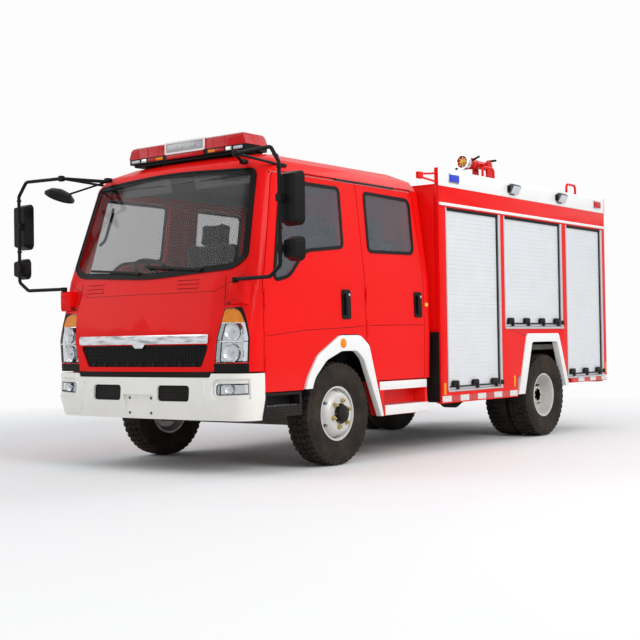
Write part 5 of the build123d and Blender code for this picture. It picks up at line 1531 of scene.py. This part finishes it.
cushions = bmesh.new()
shells = bmesh.new()
for row in SEATS:
    x0, x1 = about(row["x"], row["wide"] / 2)
    y = AXLE_F + row["y"]
    width = (x1 - x0) / row["places"]
    for k in range(row["places"]):
        a, b = x0 + k * width + PLACE_GAP, x0 + (k + 1) * width - PLACE_GAP
        cushion(cushions, (a, b), (y + 0.005, y + 0.420), (1.285, 1.415))
        cushion(cushions, (a + 0.010, b - 0.010), (y + 0.390, y + 0.500), (1.380, 1.800), LEAN)
        cushion(cushions, about((a + b) / 2, 0.125), (y + 0.490, y + 0.575), (1.830, 1.985), LEAN)
    slab(shells, (x0 + 0.020, x1 - 0.020), (y + 0.040, y + 0.440), (0.985, 1.285), 0.015, 3)
    slab(shells, (x0 + 0.015, x1 - 0.015), (y + 0.470, y + 0.535), (1.300, 1.820), 0.015, 3, 0, LEAN)
stuffed = finish_piece("seat_cushions", cushions, [SEAT_FABRIC], "chassis", 60.0)
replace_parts(stuffed, "seats")
finish_piece("seat_shells", shells, [BLACK], "chassis")

# %% Dashboard, visors and handles
CAB_FINISHES = [DASH_PLASTIC, BLACK, HEADLINER, FLOOR_MAT]
CAB_DASH, CAB_BLACK, CAB_LINER, CAB_MAT = range(4)
WHEEL_X = middle("steering_wheel").x
DASH_Y = FRONT + 0.465
KNOBS = (-0.070, 0.0, 0.070)
VENTS = (-0.720, -0.230, 0.230, 0.700)
VISOR_TILT = Matrix.Rotation(math.radians(20), 3, "X")
GRAB = [(0.845, 0.395, 1.780), (0.815, 0.425, 1.820), (0.800, 0.500, 2.040), (0.815, 0.520, 2.090)]
bm = bmesh.new()
slab(bm, about(WHEEL_X, 0.230), moved((-0.160, 0.010), DASH_Y), (1.440, 1.520), 0.030, 4, CAB_DASH)
slab(bm, about(0, 0.130), moved((-0.020, 0.022), DASH_Y), (1.180, 1.420), 0.015, 3, CAB_BLACK)
for x in KNOBS:
    rod(bm, (x, DASH_Y + 0.018, 1.225), (x, DASH_Y + 0.036, 1.225), 0.018, 20, CAB_BLACK)
for x in VENTS:
    slab(bm, about(x, 0.060), moved((-0.010, 0.016), DASH_Y), (1.350, 1.410), 0.008, 3, CAB_BLACK)
slab(bm, (0.240, 0.740), moved((-0.005, 0.026), DASH_Y), (1.190, 1.320), 0.020, 3, CAB_DASH)
for way in (-1, 1):
    slab(bm, span(0.130, 0.690, way), moved((0.505, 0.523), FRONT), (2.165, 2.300), 0.008, 3, CAB_LINER,
         VISOR_TILT)
    bends = [(way * x, FRONT + y, z) for x, y, z in GRAB]
    for start, end in zip(bends, bends[1:]):
        rod(bm, start, end, 0.012, 14, CAB_BLACK)
slab(bm, about(0, 0.250), moved((-0.540, 0.400), AXLE_F), (1.158, 1.190), 0.014, 3, CAB_MAT)
finish_piece("cab_fittings", bm, CAB_FINISHES, "chassis")
bm = bmesh.new()
lining = skin("cab_roof", -UP)
shift(lining, -UP * 0.003)
thicken(lining, -UP * 0.010)
join(bm, lining)
finish_piece("headlining", bm, [HEADLINER], "chassis")

# %% [markdown]
# ## Stage, light and camera
# A pale floor, a soft world and three large area lamps light the truck evenly, so paint shows about as it is
# written. The camera stands ahead of the truck's left front corner, at the height of the grille, with a
# longish lens.

# %% Floor and lamps
FLOOR_SIZE = 60.0
FLOOR_FADE = (4.5, 9.0)
SOFTBOX = 6.0


def studio():
    bm = bmesh.new()
    bmesh.ops.create_grid(bm, x_segments=8, y_segments=8, size=FLOOR_SIZE)
    mesh = bpy.data.meshes.new("studio_floor")
    bm.to_mesh(mesh)
    bm.free()
    made = Recipe("floor_finish", srgb(246, 246, 245), rough=(0.8, 0.9), grain=0.6, spread=0.01, bump=0.02,
                  fine=60.0)
    reach = made.tree.nodes.new("ShaderNodeVectorMath")
    reach.operation = "LENGTH"
    made.tree.links.new(made.coords, reach.inputs[0])
    made.link(made.spread(reach.outputs["Value"], *FLOOR_FADE, 1.0, 0.0), "Alpha")
    mesh.materials.append(made.finish)
    floor = bpy.data.objects.new("studio_floor", mesh)
    floor.location.z = -0.001
    bpy.context.collection.objects.link(floor)


def softbox(name, place, aim, power):
    lamp = bpy.data.lights.new(name, "AREA")
    lamp.shape = "SQUARE"
    lamp.size = SOFTBOX
    lamp.energy = power
    holder = bpy.data.objects.new(name, lamp)
    holder.location = place
    holder.rotation_euler = (Vector(aim) - Vector(place)).to_track_quat("-Z", "Y").to_euler()
    bpy.context.collection.objects.link(holder)


studio()
softbox("key_lamp", (10.5, -3.5, 7.0), (0.4, -0.2, 1.0), 660.0)
softbox("fill_lamp", (-7.0, -8.0, 6.5), (0.0, 0.0, 1.2), 200.0)
softbox("rear_lamp", (3.0, 10.0, 8.0), (0.0, 1.0, 1.2), 300.0)

# %% World
def sky():
    world = bpy.data.worlds.new("soft_sky")
    world.use_nodes = True
    bpy.context.scene.world = world
    tree = world.node_tree
    seen = tree.nodes.new("ShaderNodeBackground")
    seen.inputs["Color"].default_value = (0.98, 0.98, 0.98, 1.0)
    light = tree.nodes["Background"]
    light.inputs["Color"].default_value = (0.92, 0.95, 1.0, 1.0)
    light.inputs["Strength"].default_value = 0.62
    path = tree.nodes.new("ShaderNodeLightPath")
    mix = tree.nodes.new("ShaderNodeMixShader")
    white = path.outputs["Is Camera Ray"]
    for ray in ("Is Glossy Ray", "Is Transmission Ray"):
        either = tree.nodes.new("ShaderNodeMath")
        either.operation = "MAXIMUM"
        tree.links.new(white, either.inputs[0])
        tree.links.new(path.outputs[ray], either.inputs[1])
        white = either.outputs["Value"]
    tree.links.new(white, mix.inputs["Fac"])
    tree.links.new(light.outputs["Background"], mix.inputs[1])
    tree.links.new(seen.outputs["Background"], mix.inputs[2])
    tree.links.new(mix.outputs["Shader"], tree.nodes["World Output"].inputs["Surface"])


sky()
bpy.context.scene.view_settings.view_transform = "Standard"

# %% Camera
CAMERA_PLACE = Vector((6.6532, -9.2931, 0.9682))
CAMERA_YAW = math.radians(37.9)
CAMERA_PITCH = math.radians(1.0)
CAMERA_ROLL = math.radians(-0.9)
LENS = 67.58


def set_camera():
    camera = bpy.data.cameras.new("camera")
    camera.lens = LENS
    camera.sensor_width = 36.0
    holder = bpy.data.objects.new("camera", camera)
    turn = Matrix.Rotation(CAMERA_YAW, 4, "Z") @ Matrix.Rotation(math.pi / 2 + CAMERA_PITCH, 4, "X")
    turn = turn @ Matrix.Rotation(CAMERA_ROLL, 4, "Z")
    holder.matrix_world = Matrix.Translation(CAMERA_PLACE) @ turn
    bpy.context.collection.objects.link(holder)
    bpy.context.scene.camera = holder


set_camera()
bpy.context.view_layer.update()
print("camera at", [round(v, 2) for v in CAMERA_PLACE])
